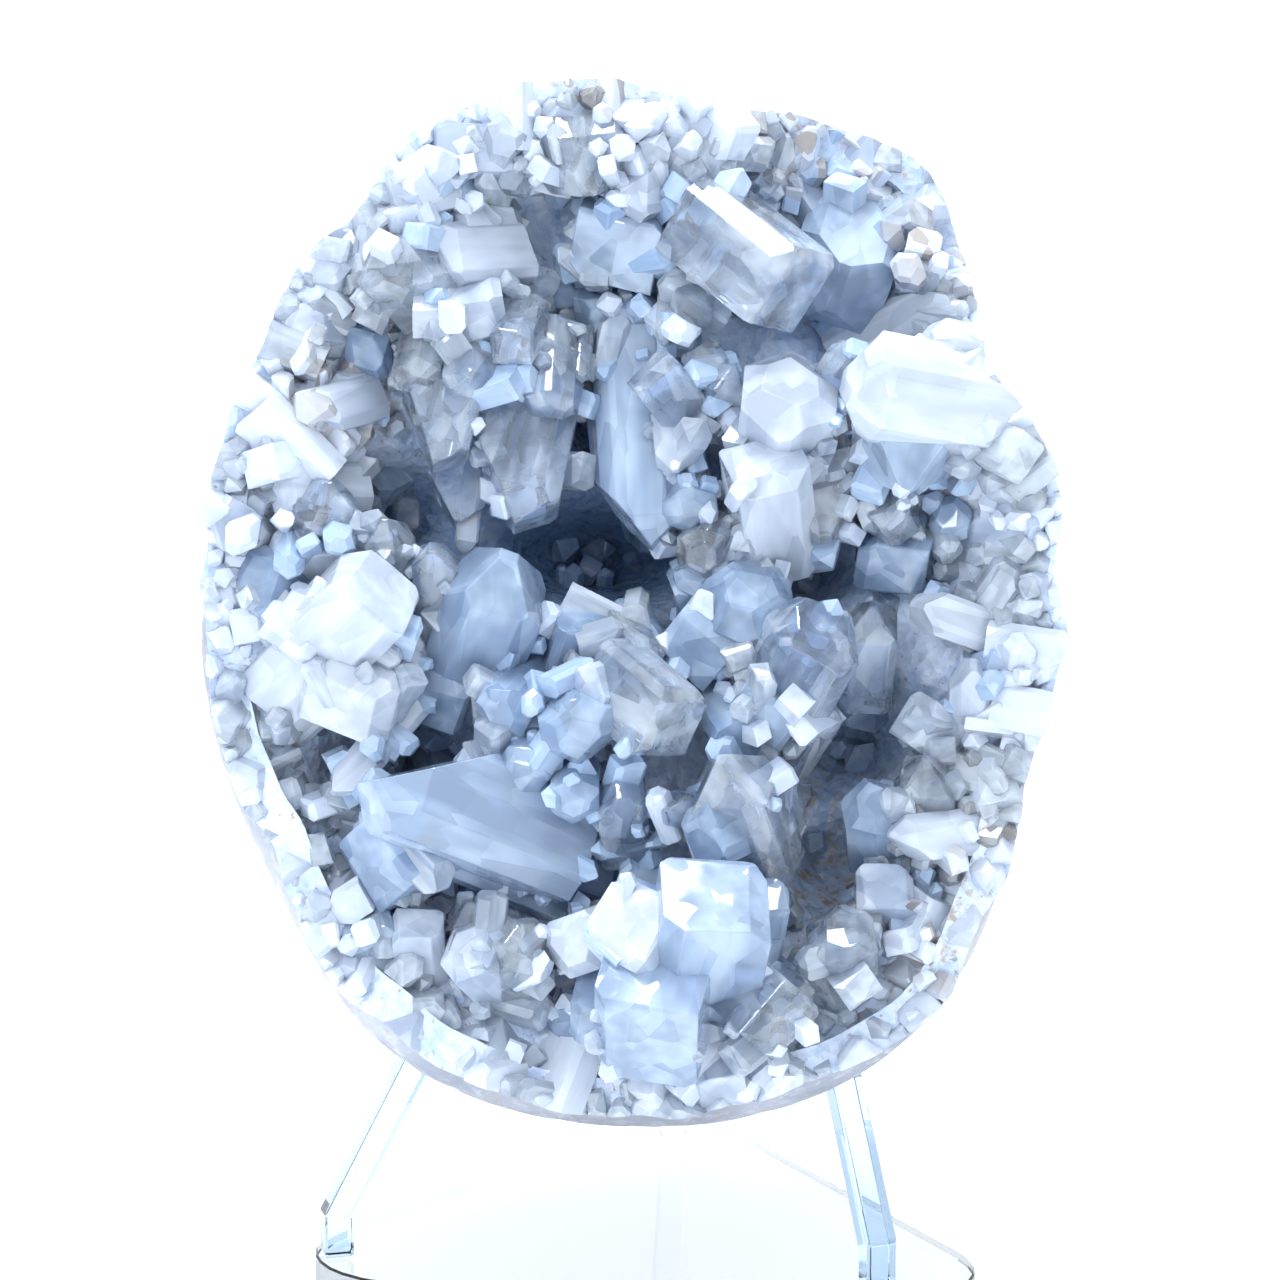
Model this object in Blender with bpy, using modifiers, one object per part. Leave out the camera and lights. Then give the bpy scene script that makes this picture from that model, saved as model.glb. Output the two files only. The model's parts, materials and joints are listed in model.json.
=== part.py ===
"""A celestite geode, ground outside and open at the front, on a clear three armed stand.

Metres, +Z up. The open side faces -Y, and the origin is under the middle of the foot plate.
The geode is modelled in a frame of its own: its rim lies near y = 0, and y grows into the stone.
"""
import math
import random

import bmesh
import bpy
from mathutils import Matrix, Vector, noise
from mathutils.bvhtree import BVHTree
from mathutils.geometry import delaunay_2d_cdt

MM = 0.001
GAP = 0.3 * MM  # kept between pieces that touch
SHARP = math.radians(40)  # edges bent more than this are corners

# The ground outside of the geode
HALF_WIDTH = 43.6 * MM
HALF_HEIGHT = 53.6 * MM
BACK_DEPTH = 42 * MM  # from the widest section to the back
FRONT_DEPTH = 28 * MM  # how far the outside would still curve on, had it not been opened
WIDEST = 6 * MM  # how far the widest section lies behind the rim
WIDEST_SWING = 4 * MM  # it lies this much deeper at the bottom
WIDEST_HEADING = 250  # degrees round the outline
TOP_FULLNESS, BOTTOM_FULLNESS = 2.0, 2.3  # exponents of the outline, 2 being an ellipse
# Where the ground outline leaves that curve: heading and half width in degrees, and mm outwards
OUTLINE_BULGES = {
    "right_flat": (4, 10, -1.8),
    "below_notch": (31, 15, -5.6),
    "upper_right_shoulder": (57, 12, 4.4),
    "top_dip": (82, 8, -2.4),
    "top_flat": (92, 16, -2.6),
    "upper_left_dip": (127, 8, -1.4),
    "upper_left_flat": (150, 8, -1.2),
    "left_bulge": (185, 10, 0.8),
    "lower_left_flat": (222, 16, -1.6),
    "lower_right_flat": (336, 20, -3.0),
}
RIND_THICKNESS = 2.4 * MM
RIM_WAVE = 0.9 * MM
GRINDING_LUMP = 0.8 * MM
NOTCH_DEPTH = 12 * MM  # the rim steps back at the upper right
NOTCH_FROM, NOTCH_TO = 30, 84  # degrees round the outline, 0 at the right, 90 at the top
NOTCH_EASE = 18  # degrees over which it steps back
OVERHANG = 1.1 * MM  # how far the crust hangs out over the rim
OVERHANG_WAVE = 1.4 * MM
COVER = 1.5 * MM  # how thick the crust lies on the rim
WALL_SEGMENTS, WALL_RINGS = 40, 9

# How the geode stands
GEODE_PLACE = Vector((0.7 * MM, -18 * MM, 75 * MM))
GEODE_TILT = math.radians(13)

# The clear stand
BAR = 3.0 * MM
BAR_EDGE = 0.25 * MM
PLATE_THICKNESS = 3.5 * MM
PLATE_EDGE = 0.4 * MM
PLATE_CORNER_RADIUS = 11 * MM
CORNER_STEPS = 10
PLATE_CORNERS = ((-22.5, -8), (24.5, -14), (4, 25))  # middles of its round corners in mm, seen from above
ARM_BEND_HEIGHT = 8 * MM
ARM_LEAN = math.radians(28)
# x, y of each foot in mm and the heading, in degrees seen from above, that the arm leans away from
ARMS = {"left": (-31, -10.5, 195), "right": (25, -20, -66), "back": (4.5, 31.5, 82)}

# The hollow: bumps added to the depth of its floor, as x, z, half width, half height and depth in mm
HOLLOW_DEPTH = 9.5 * MM
RELIEF = {
    "cave": (-4, 5, 12, 6, 19),
    "cave_throat": (-5, 20, 3.5, 6, 12),
    "cave_left_arm": (-24, 9, 8, 4.5, 9),
    "left_gap": (-24.5, -17.5, 6.5, 4, 12),
    "right_gap": (16, 4, 5, 4.5, 8),
    "right_pocket": (22, -15, 9, 5, 9),
    "lower_right_pocket": (21, -27, 7, 5, 7),
    "top_shadow": (-8, 39, 6, 4.5, 6),
    "shadow_under_top": (-2, 26, 6, 5, 7),
    "upper_right_notch": (23, 36, 12, 10, 6),
    "middle_mound": (-7, -12, 11, 12, -5),
    "bottom_shoulder": (5, -38, 10, 10, -5),
    "right_shelf": (29, 19, 12, 9, -6),
    "left_ledge": (-33, -3, 10, 8, -5),
}
RELIEF_SPACING = 6 * MM
RELIEF_JITTER = 0.8 * MM
RELIEF_SEED = 3
FLOOR_REACH = 1.16  # of the outline's radius: past the rind, which then trims it
CRUST_SHARE_KEPT = 0.64  # of the joined crust's triangles

# Crystals that can be told apart. x, y, z of the tip in mm in the geode's frame; heading in the
# picture plane (0 right, 90 up) and lean out of it, in degrees; length, width, thickness in mm;
# roll about the long axis in degrees; the form of the end.
CRYSTALS = {
    # along the top
    "top_bar": (-21.3, -1, 44.6, 180, 20, 12, 4.8, 5, 10, "block"),
    "top_block": (-25.7, -1, 39.6, 200, 30, 10, 6, 6, 0, "block"),
    "top_facet_block": (-21, -2, 33.4, 190, 40, 11, 7, 6, 15, "block"),
    "left_brow": (-26.5, -5, 29.6, 205, 48, 14, 9.5, 8.5, 20, "point"),
    "left_brow_small": (-27.4, 0, 39, 160, 30, 7, 3.4, 3.4, 0, "block"),
    "left_brow_block": (-28.5, -1, 35.5, 170, 30, 8, 4.5, 4, 0, "block"),
    "top_point": (-5.1, -4, 39.8, 272, 42, 13, 10, 8, 0, "point"),
    "top_point_small": (0.9, -3, 38.1, 280, 50, 9, 6, 5, 20, "point"),
    "top_peak": (6.2, 0, 49.4, 80, 25, 13, 9, 7, 0, "point"),
    "top_hero": (15.2, -9, 29.4, 316, 38, 16, 8.8, 8, 24, "block"),
    "top_grey_block": (-2.6, 0.5, 34.6, 250, 62, 11, 8.8, 7.5, 8, "block"),
    "top_grey_side": (4.3, 0, 34.1, 240, 55, 9, 4.8, 5, 0, "block"),
    "hanging_clear": (4.9, -2, 26.8, 262, 45, 8, 4.4, 4, 0, "point"),
    "hanging_clear_small": (2.7, -1, 25, 266, 30, 7, 2.6, 2.6, 0, "point"),
    "shadow_block": (-1.6, 5, 26.1, 262, 62, 11, 10, 9, 12, "block"),
    "cluster_left": (5.9, -3, 24.6, 120, 55, 8, 4.2, 3.6, 0, "point"),
    "cluster_right": (9.4, -3, 22.6, 60, 60, 8, 4.4, 4, 30, "point"),
    "milky_hexagon": (14.9, -8.5, 20.6, 84, 64, 15, 9.4, 9.6, 0, "hexagon"),
    "milky_step": (12.4, -6.5, 13.4, 100, 48, 14, 7.8, 8, 8, "block"),
    "right_splinter": (20.7, -8, 23.6, 55, 42, 8, 4, 3, 0, "block"),
    # the notch at the upper right
    "notch_ridge": (13.8, 7, 41.5, 300, 45, 13, 7, 6, 20, "blade"),
    "notch_block": (18.8, 11, 42, 30, 42, 11, 7, 6, 10, "block"),
    "notch_white_block": (24.2, 12, 44, 60, 40, 11, 5.2, 5, 20, "block"),
    "notch_wedge": (19.4, 2.5, 30, 252, 52, 18, 10.5, 9, 0, "blade"),
    "notch_clear": (25.6, 5, 33, 20, 55, 11, 5.6, 5, 0, "point"),
    "notch_square": (29.4, 4, 34, 60, 50, 9, 3.8, 4.2, 0, "block"),
    "notch_blade": (31.8, 6, 31.2, 28, 22, 14, 6, 5, 0, "blade"),
    # the right side
    "right_hero": (20.8, -10.5, 20.4, 172, 24, 22, 10, 9.6, 14, "hexagon"),
    "right_hero_side": (35.6, -7.5, 20.6, 30, 54, 15, 9, 8, 0, "block"),
    "right_hanging": (26.7, -8.5, 9.8, 264, 36, 15, 10.4, 8, 0, "point"),
    "right_rim_high": (38, -2, 12.8, 0, 45, 10, 7, 6, 20, "block"),
    "right_rim_middle": (40.6, 0, 5.2, 350, 40, 10, 6, 6, 0, "point"),
    "right_rim_low": (40.6, 1, -1.4, 10, 40, 10, 6, 5.5, 30, "block"),
    "right_sheet": (19, -2, 5.6, 282, 40, 14, 8.4, 7, 0, "point"),
    "right_sheet_small": (25, -2.5, 5, 270, 36, 10, 5, 5, 20, "point"),
    "right_dark_block": (25, 1, 2.4, 250, 52, 10, 7.2, 6, 10, "block"),
    "right_blade": (27.2, -2, -1, 162, 30, 12, 4.4, 4, 0, "blade"),
    "right_post": (23.1, -2, -0.9, 88, 46, 13, 5.4, 5, 0, "point"),
    "right_sparkler": (18, -8.5, -3, 62, 44, 17, 9.6, 8.6, -28, "hexagon"),
    "right_sparkler_foot": (12, -5, -12.4, 235, 50, 11, 6.8, 6, 0, "block"),
    "grey_block": (37.4, 1, -7.6, 60, 45, 9, 5.2, 5, 0, "block"),
    "right_twin_tall": (33.4, -1.5, -6.6, 88, 35, 12, 4.8, 3.6, 0, "blade"),
    "right_twin_low": (36, 0, -9.8, 70, 35, 11, 4.2, 3.6, 0, "blade"),
    "right_pocket_block": (27.2, 0, -12, 145, 42, 11, 5.2, 4.6, 0, "block"),
    "lower_right_round": (23.4, -2, -20.4, 100, 62, 11, 6.8, 6.4, 0, "hexagon"),
    "lower_right_apex": (28.9, -3, -16.2, 86, 46, 12, 5.6, 5.2, 0, "point"),
    "lower_right_arrow": (24.6, -3, -24.4, 186, 26, 12, 4.8, 4.2, 0, "point"),
    "lower_right_pale": (24.4, -1, -28.8, 90, 60, 10, 5.8, 5, 0, "block"),
    "lower_right_bright": (19.8, -5, -33, 96, 56, 13, 6.8, 7.4, 0, "hexagon"),
    "lower_right_rim": (29.5, 0, -33.6, 320, 50, 10, 6, 5.4, 15, "block"),
    "lower_right_rim_high": (33.4, 0, -24.6, 350, 45, 10, 5.6, 5, 0, "block"),
    # round the cave
    "hanging_blade": (0.2, 2, 4.8, 274, 12, 23, 7.6, 5.6, 0, "chisel"),
    "cave_sparkler": (1, -3.5, 22.4, 130, 42, 10, 5.2, 4.4, 0, "block"),
    "cave_sparkler_foot": (3.9, -1.5, 12.4, 276, 34, 11, 4.4, 4, 0, "point"),
    "bubbly_high": (5.2, -1, 8.2, 280, 62, 9, 5.4, 5, 0, "hexagon"),
    "bubbly_middle": (6.2, -2.5, 3.6, 240, 64, 10, 6, 5.6, 30, "hexagon"),
    "bubbly_low": (3.4, -0.5, 0.8, 200, 56, 9, 4.6, 4.4, 0, "point"),
    "round_mound": (10.6, -5.5, 0.2, 100, 66, 13, 8.8, 8.8, 0, "hexagon"),
    "cave_lip_block": (5.2, -3.5, -5.6, 230, 56, 11, 6.8, 6.4, 0, "block"),
    "cave_lip_blade": (-2, 1.5, -0.4, 100, 32, 11, 6, 3.6, 0, "blade"),
    "cave_lip_square": (-5.4, -1.5, -2, 70, 42, 11, 5.8, 5, 20, "block"),
    "white_facet": (3.6, -9.5, -13.4, 318, 40, 11, 7.8, 6.4, 30, "block"),
    "white_facet_left": (-5.6, -6.5, -9.8, 200, 52, 10, 4.8, 4.2, 0, "block"),
    "blue_pyramid": (-12.7, -5, 3.7, 66, 38, 17, 10, 9.4, 12, "point"),
    "striped_post": (-20.4, -2.5, 5, 93, 30, 15, 4.8, 4.2, 0, "blade"),
    "left_post": (-24.9, -4, 7.4, 90, 46, 11, 5, 4.6, 0, "point"),
    "pendant_main": (-13.8, -1.5, 6.8, 259, 18, 19, 10.4, 8, 0, "chisel"),
    "pendant_left": (-21.6, -3, 12.6, 256, 18, 14, 8.2, 6, 0, "chisel"),
    "pendant_behind": (-19, 3, 7.2, 262, 12, 13, 6.2, 5, 0, "blade"),
    "pendant_small": (-17.5, 2, 4.1, 266, 12, 9, 2.4, 2.2, 0, "point"),
    "roof_round": (-9.3, -2.5, 18.1, 268, 34, 11, 5.4, 5, 0, "hexagon"),
    "roof_bright": (-12.9, -5.5, 24.2, 250, 56, 9, 4.2, 3.8, 20, "block"),
    "roof_middle": (-17, -4, 19.9, 266, 42, 11, 5.6, 5.2, 0, "hexagon"),
    "roof_left": (-22.2, -3.5, 20.8, 262, 42, 10, 5, 4.6, 15, "hexagon"),
    "roof_prism": (-20.3, -4, 26.4, 268, 40, 11, 4.6, 4.4, 0, "block"),
    "roof_block": (-15.8, -4, 26.8, 280, 54, 10, 5.2, 5, 0, "block"),
    # the left side
    "left_rim_bar": (-38.6, 0, 19.6, 180, 22, 10, 3.8, 4, 0, "block"),
    "left_rim_point": (-33.6, -2.5, 17.6, 202, 46, 10, 5, 4.4, 0, "point"),
    "left_spur": (-42.6, 1.5, 17, 176, 16, 11, 3.2, 3.2, 0, "block"),
    "left_stack_high": (-38.2, -1.5, 14.2, 190, 32, 11, 4.8, 4.4, 0, "block"),
    "left_stack_low": (-36, -2, 10.4, 184, 40, 10, 5, 4.4, 10, "block"),
    "left_hexagon": (-30.7, -4, 9.2, 60, 66, 11, 6.2, 6.4, 0, "hexagon"),
    "left_ledge_top": (-38.4, -3, 1.8, 150, 50, 12, 7.2, 5.2, 10, "block"),
    "left_ledge_pale": (-33.2, -2, 5.6, 100, 50, 10, 8.4, 4.4, 0, "block"),
    "left_ledge_sparkler": (-33.4, -6.5, -2.4, 120, 60, 13, 7.4, 6.6, 25, "block"),
    "left_wedge": (-25.4, -8.5, 0.4, 42, 36, 18, 8.6, 8.2, 18, "block"),
    "left_low_block": (-29.2, -6.5, -11.2, 240, 56, 14, 9.4, 7.4, 10, "block"),
    "left_hook": (-36.6, -1, -14.6, 262, 32, 10, 3.4, 3.2, 0, "blade"),
    "left_low_clear": (-31.2, -1, -21, 200, 50, 9, 4.6, 4.2, 0, "point"),
    "gap_splinter": (-30.2, -2.5, -20, 231, 16, 14, 3.8, 3.2, 0, "blade"),
    "gap_teal": (-20.8, 0, -11, 250, 56, 11, 6.8, 6, 0, "block"),
    # below the cave
    "lavender_hero": (-26.6, -9, -17.4, 158, 27, 24, 11, 9, 14, "chisel"),
    "teal_block": (-26.4, -4, -26.6, 196, 50, 14, 8, 7.2, 20, "block"),
    "teal_foot": (-27.6, -1.5, -31.8, 110, 56, 11, 5.4, 6, 0, "block"),
    "low_square": (-22, -2.5, -32.4, 92, 50, 10, 5.2, 4.2, 0, "block"),
    "low_point": (-17.2, -3.5, -30.6, 100, 46, 10, 4.2, 3.8, 0, "point"),
    "low_round_left": (-17, -5.5, -34.6, 130, 62, 12, 6.8, 6, 0, "hexagon"),
    "low_round_right": (-11.2, -5.5, -34.2, 60, 62, 12, 6.2, 6, 0, "hexagon"),
    "mound_left": (-13.8, -6.5, -12.2, 240, 62, 11, 5.6, 5.6, 0, "hexagon"),
    "mound_low_left": (-12, -6.5, -18, 230, 60, 11, 5.2, 5.2, 0, "hexagon"),
    "mound_milky": (-6, -8.5, -14.2, 280, 66, 13, 7.4, 6.8, 0, "hexagon"),
    "mound_low": (-6.4, -7.5, -21, 270, 62, 11, 4.8, 5, 0, "hexagon"),
    "mound_post": (-2, -6.5, -18.4, 95, 50, 11, 5, 5, 0, "blade"),
    "triangle_facet": (7.6, -9, -16.4, 112, 42, 15, 8.4, 7.4, -30, "point"),
    "triangle_foot": (5.8, -8, -24.4, 205, 46, 11, 6.6, 5, 0, "block"),
    "triangle_splinter": (1.8, -6.5, -20.8, 165, 40, 9, 3.6, 3.6, 0, "blade"),
    "chevron": (15.2, -3.5, -18.6, 58, 42, 11, 5.4, 5.2, 0, "point"),
    "pocket_sheet": (11.2, -3.5, -14.4, 300, 52, 11, 7.4, 6, 0, "block"),
    # the bottom, nearest to the viewer
    "near_hero": (7.4, -14.5, -29.2, 80, 52, 21, 10.6, 9.6, 10, "block"),
    "near_left": (-1.2, -11.5, -32, 130, 58, 17, 8, 7.6, 20, "block"),
    "near_low": (0.2, -12, -44.2, 252, 46, 20, 10.6, 10, 12, "block"),
    "near_right": (14.2, -9.5, -42.4, 318, 42, 16, 7, 6.6, 0, "block"),
    "near_oval": (-6.8, -7, -34.8, 200, 60, 12, 6, 7.2, 0, "hexagon"),
    "bottom_block": (8, -3, -49.6, 280, 42, 10, 5.2, 5, 0, "block"),
    "bottom_block_right": (13.4, -2.5, -48, 300, 42, 10, 4.8, 4.6, 20, "block"),
}

# The crystals that fill in between
FILLER_SEED = 11
FILLER_COUNT = 34
FILLER_SPACING = 5.6 * MM
FILLER_CLEARANCE = 3.8 * MM  # from the crystals above
FILLER_REACH = 0.88  # of the outline's radius
FILLER_TRIES = 6000
FILLER_WIDTH = (3.6 * MM, 5.6 * MM)
FILLER_FORMS = ("block", "point", "hexagon", "blade")
RIM_SEED = 5
RIM_COUNT = 40
RIM_WIDTH = (4.2 * MM, 6.6 * MM)
RIM_SHARES = (0.93, 0.98)  # of the outline's radius


def clear_scene():
    for obj in list(bpy.data.objects):
        bpy.data.objects.remove(obj, do_unlink=True)


def new_collection(name):
    collection = bpy.data.collections.new(name)
    bpy.context.scene.collection.children.link(collection)
    return collection


def new_object(name, bm, collection):
    mesh = bpy.data.meshes.new(name)
    bm.normal_update()
    bm.to_mesh(mesh)
    bm.free()
    obj = bpy.data.objects.new(name, mesh)
    collection.objects.link(obj)
    return obj


def helper(obj):
    """A cutter or a body that a join takes in: it is no piece of its own."""
    obj.hide_render = True
    obj.display_type = "WIRE"
    return obj


def material(name, color, roughness, transmission=0.0, ior=1.5):
    made = bpy.data.materials.new(name)
    made.use_nodes = True
    shader = made.node_tree.nodes["Principled BSDF"]
    shader.inputs["Base Color"].default_value = (*color, 1)
    shader.inputs["Roughness"].default_value = roughness
    shader.inputs["Metallic"].default_value = 0
    shader.inputs["Transmission Weight"].default_value = transmission
    shader.inputs["IOR"].default_value = ior
    made.diffuse_color = (*color, 1)
    return made


def smoothstep(value):
    value = min(max(value, 0.0), 1.0)
    return value * value * (3 - 2 * value)


def loft(rings, first_pole=None, last_pole=None):
    """A skin through rings of equally many points, each closed by a fan to its pole where given."""
    bm = bmesh.new()
    rows = [[bm.verts.new(point) for point in ring] for ring in rings]
    for row, after in zip(rows, rows[1:]):
        for i in range(len(row)):
            j = (i + 1) % len(row)
            bm.faces.new((row[i], row[j], after[j]))
            bm.faces.new((row[i], after[j], after[i]))
    for pole, row in ((first_pole, rows[0]), (last_pole, rows[-1])):
        if pole is None:
            continue
        tip = bm.verts.new(pole)
        for i in range(len(row)):
            bm.faces.new((tip, row[i], row[(i + 1) % len(row)]))
    bmesh.ops.recalc_face_normals(bm, faces=bm.faces)
    return bm


# The ground outside

def outline_radius(angle):
    """From the middle to the ground outside, seen from the front."""
    fullness = TOP_FULLNESS if math.sin(angle) > 0 else BOTTOM_FULLNESS
    across = abs(math.cos(angle) / HALF_WIDTH) ** fullness
    up = abs(math.sin(angle) / HALF_HEIGHT) ** fullness
    radius = (across + up) ** (-1 / fullness)
    for heading, half_width, bulge in OUTLINE_BULGES.values():
        away = (math.degrees(angle) - heading + 180) % 360 - 180
        radius += bulge * MM * math.exp(-((away / half_width) ** 2))
    return radius


def rim_depth(angle):
    """How far behind the plane of the opening the rim lies."""
    degrees = math.degrees(angle) % 360
    notch = smoothstep((degrees - NOTCH_FROM) / NOTCH_EASE) * smoothstep((NOTCH_TO - degrees) / NOTCH_EASE)
    wave = noise.noise(Vector((math.cos(angle), math.sin(angle), 0)) * 2.7)
    chips = noise.noise(Vector((math.cos(angle), math.sin(angle), 5)) * 9)
    return NOTCH_DEPTH * notch + RIM_WAVE * (2 * wave + chips)


def wall_point(angle, share, inset):
    """A point on the ground outside, or on a wall inset within it: share 0 is the rim, 1 the back."""
    widest = WIDEST + WIDEST_SWING * math.cos(angle - math.radians(WIDEST_HEADING))
    rim = rim_depth(angle)
    if rim < widest:
        first = -math.asin((widest - rim) / FRONT_DEPTH)
    else:
        first = math.asin((rim - widest) / BACK_DEPTH)
    turn = first + (math.pi / 2 - first) * share
    reach = BACK_DEPTH - inset if turn > 0 else FRONT_DEPTH
    around = math.cos(turn) ** (0.9 if turn > 0 else 1.0)
    lump = GRINDING_LUMP * noise.noise(Vector((math.cos(angle), 2 * share, math.sin(angle))) * 2)
    radius = (outline_radius(angle) - inset + lump) * around
    return Vector((radius * math.cos(angle), widest + reach * math.sin(turn), radius * math.sin(angle)))


def wall_angles():
    return [2 * math.pi * i / WALL_SEGMENTS for i in range(WALL_SEGMENTS)]


def wall_rings(inset):
    shares = [ring / WALL_RINGS for ring in range(WALL_RINGS)]
    return [[wall_point(angle, share, inset) for angle in wall_angles()] for share in shares]


def back_pole(inset):
    return Vector((0, WIDEST + BACK_DEPTH - inset, 0))


def build_rind(collection):
    outside = wall_rings(0)
    inside = wall_rings(RIND_THICKNESS)
    bm = loft(outside[::-1] + inside, back_pole(0), back_pole(RIND_THICKNESS))
    rind = new_object("geode_rind", bm, collection)
    rind.data.shade_smooth()
    rind.data.set_sharp_from_angle(angle=SHARP)
    rind.data.materials.append(material("ground_rind", (0.82, 0.82, 0.84), 0.55))
    return rind


# The hollow and its crust

def shape_share(x, z):
    """0 in the middle of the opening, 1 at its outline."""
    return math.hypot(x, z) / outline_radius(math.atan2(z, x))


def floor_depth(x, z):
    """How far behind the opening the floor between the crystals lies."""
    share = min(shape_share(x, z), 1.0)
    at_rim = rim_depth(math.atan2(z, x)) - COVER
    depth = HOLLOW_DEPTH * (1 - share**3) + at_rim * share**3
    for near_x, near_z, half_width, half_height, bump in RELIEF.values():
        away = ((x / MM - near_x) / half_width) ** 2 + ((z / MM - near_z) / half_height) ** 2
        depth += bump * MM * math.exp(-away)
    return depth


def floor_points():
    """Points over the opening and a little beyond, on a jittered triangular grid."""
    rng = random.Random(RELIEF_SEED)
    points = []
    rows = int(1.2 * HALF_HEIGHT / (RELIEF_SPACING * 0.866))
    columns = int(1.2 * HALF_WIDTH / RELIEF_SPACING) + 1
    for row in range(-rows, rows + 1):
        for column in range(-columns, columns + 1):
            x = (column + 0.5 * (row % 2)) * RELIEF_SPACING + rng.uniform(-1, 1) * RELIEF_JITTER
            z = row * RELIEF_SPACING * 0.866 + rng.uniform(-1, 1) * RELIEF_JITTER
            if shape_share(x, z) < FLOOR_REACH:
                points.append((x, floor_depth(x, z) + rng.uniform(-1, 1) * RELIEF_JITTER, z))
    return points


def build_floor(collection):
    """Massive celestite: the uneven floor of the hollow, with straight sides and a flat back for now."""
    points = floor_points()
    _, _, triangles, _, _, _ = delaunay_2d_cdt([Vector((x, z)) for x, _, z in points], [], [], 0, 1e-9)
    bm = bmesh.new()
    verts = [bm.verts.new(point) for point in points]
    for triangle in triangles:
        bm.faces.new([verts[i] for i in triangle])
    border = [edge for edge in bm.edges if edge.is_boundary]
    made = bmesh.ops.extrude_edge_only(bm, edges=border)["geom"]
    back = [item for item in made if isinstance(item, bmesh.types.BMVert)]
    for vert in back:
        vert.co.y = BACK_DEPTH + 2 * WIDEST
    rim = [edge for edge in bm.edges if edge.is_boundary]
    bmesh.ops.contextual_create(bm, geom=rim)
    bmesh.ops.triangulate(bm, faces=bm.faces)
    bmesh.ops.recalc_face_normals(bm, faces=bm.faces)
    return new_object("celestite_crystals", bm, collection)


def build_crust_limit(collection):
    """What the crust may fill: the hollow within the rind, and a little over the rim in front of it."""
    within = wall_rings(RIND_THICKNESS + GAP)
    before_rim = Vector((0, -2 * GAP, 0))
    over_rim, far = [], []
    for angle in wall_angles():
        edge = wall_point(angle, 0, 0)
        outward = Vector((math.cos(angle), 0, math.sin(angle)))
        wave = noise.noise(outward * 6)
        over_rim.append(edge + outward * (OVERHANG + OVERHANG_WAVE * wave) + before_rim)
        far.append(Vector((over_rim[-1].x, -HALF_WIDTH, over_rim[-1].z)))
    inner_edge = [point + before_rim for point in within[0]]
    rings = [far, over_rim, inner_edge, *within]
    bm = loft(rings, Vector((0, -HALF_WIDTH, 0)), back_pole(RIND_THICKNESS + GAP))
    return helper(new_object("crust_limit", bm, collection))


# Crystals

def cut(bm, point, normal):
    """Takes off what lies beyond a plane and closes the hole with one flat face."""
    found = bmesh.ops.bisect_plane(
        bm, geom=bm.verts[:] + bm.edges[:] + bm.faces[:], dist=1e-8,
        plane_co=point, plane_no=normal, clear_outer=True,
    )
    edges = [item for item in found["geom_cut"] if isinstance(item, bmesh.types.BMEdge)]
    if len(edges) > 2:
        bmesh.ops.contextual_create(bm, geom=edges)


def end_planes(form, width, thickness, rng):
    """The faces that end a crystal, as (point, normal), for a tip at z = 0."""
    half_w, half_t = width / 2, thickness / 2
    shift = rng.uniform(-0.12, 0.12) * width
    planes = []
    if form == "point":
        for angle, half in ((0, half_w), (90, half_t), (180, half_w), (270, half_t)):
            slope = math.radians(rng.uniform(46, 58))
            flat = half * rng.uniform(0.04, 0.22)
            turn = math.radians(angle + rng.uniform(-7, 7))
            out = Vector((math.cos(turn), math.sin(turn), 0))
            point = out * flat + Vector((shift, 0, 0))
            planes.append((point, out * math.sin(slope) + Vector((0, 0, math.cos(slope)))))
    elif form == "chisel":
        for side, low, high in ((-1, 34, 40), (1, 54, 60)):
            slope = math.radians(rng.uniform(low, high))
            planes.append((Vector((-0.12 * width, 0, 0)), Vector((side * math.sin(slope), 0, math.cos(slope)))))
        for side in (-1, 1):
            slope = math.radians(rng.uniform(50, 60))
            point = Vector((0, side * half_t * 0.35, 0))
            planes.append((point, Vector((0, side * math.sin(slope), math.cos(slope)))))
    elif form == "blade":
        for side in (-1, 1):
            slope = math.radians(rng.uniform(40, 58))
            point = Vector((shift + side * 0.06 * width, 0, 0))
            planes.append((point, Vector((side * math.sin(slope), 0, math.cos(slope)))))
        slope = math.radians(rng.uniform(30, 45))
        planes.append((Vector((0, half_t * 0.3, 0)), Vector((0, math.sin(slope), math.cos(slope)))))
    elif form == "hexagon":
        for angle in range(0, 360, 60):
            slope = math.radians(rng.uniform(38, 56))
            turn = math.radians(angle + rng.uniform(-10, 10))
            out = Vector((math.cos(turn), math.sin(turn) * thickness / width, 0))
            point = out * half_w * rng.uniform(0.42, 0.66)
            planes.append((point, out.normalized() * math.sin(slope) + Vector((0, 0, math.cos(slope)))))
    else:
        tip = math.radians(rng.uniform(2, 9))
        turn = rng.uniform(0, 2 * math.pi)
        side = Vector((math.cos(turn), math.sin(turn), 0))
        planes.append((Vector((0, 0, -0.02 * width)), side * math.sin(tip) + Vector((0, 0, math.cos(tip)))))
        for angle in (0, 90, 180, 270):
            if rng.random() < 0.25:
                continue
            slope = math.radians(rng.uniform(38, 56))
            turn = math.radians(angle + rng.uniform(-9, 9))
            out = Vector((math.cos(turn), math.sin(turn), 0))
            half = half_w if angle in (0, 180) else half_t
            point = out * half * rng.uniform(0.55, 0.86)
            planes.append((point, out * math.sin(slope) + Vector((0, 0, math.cos(slope)))))
    return planes


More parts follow.
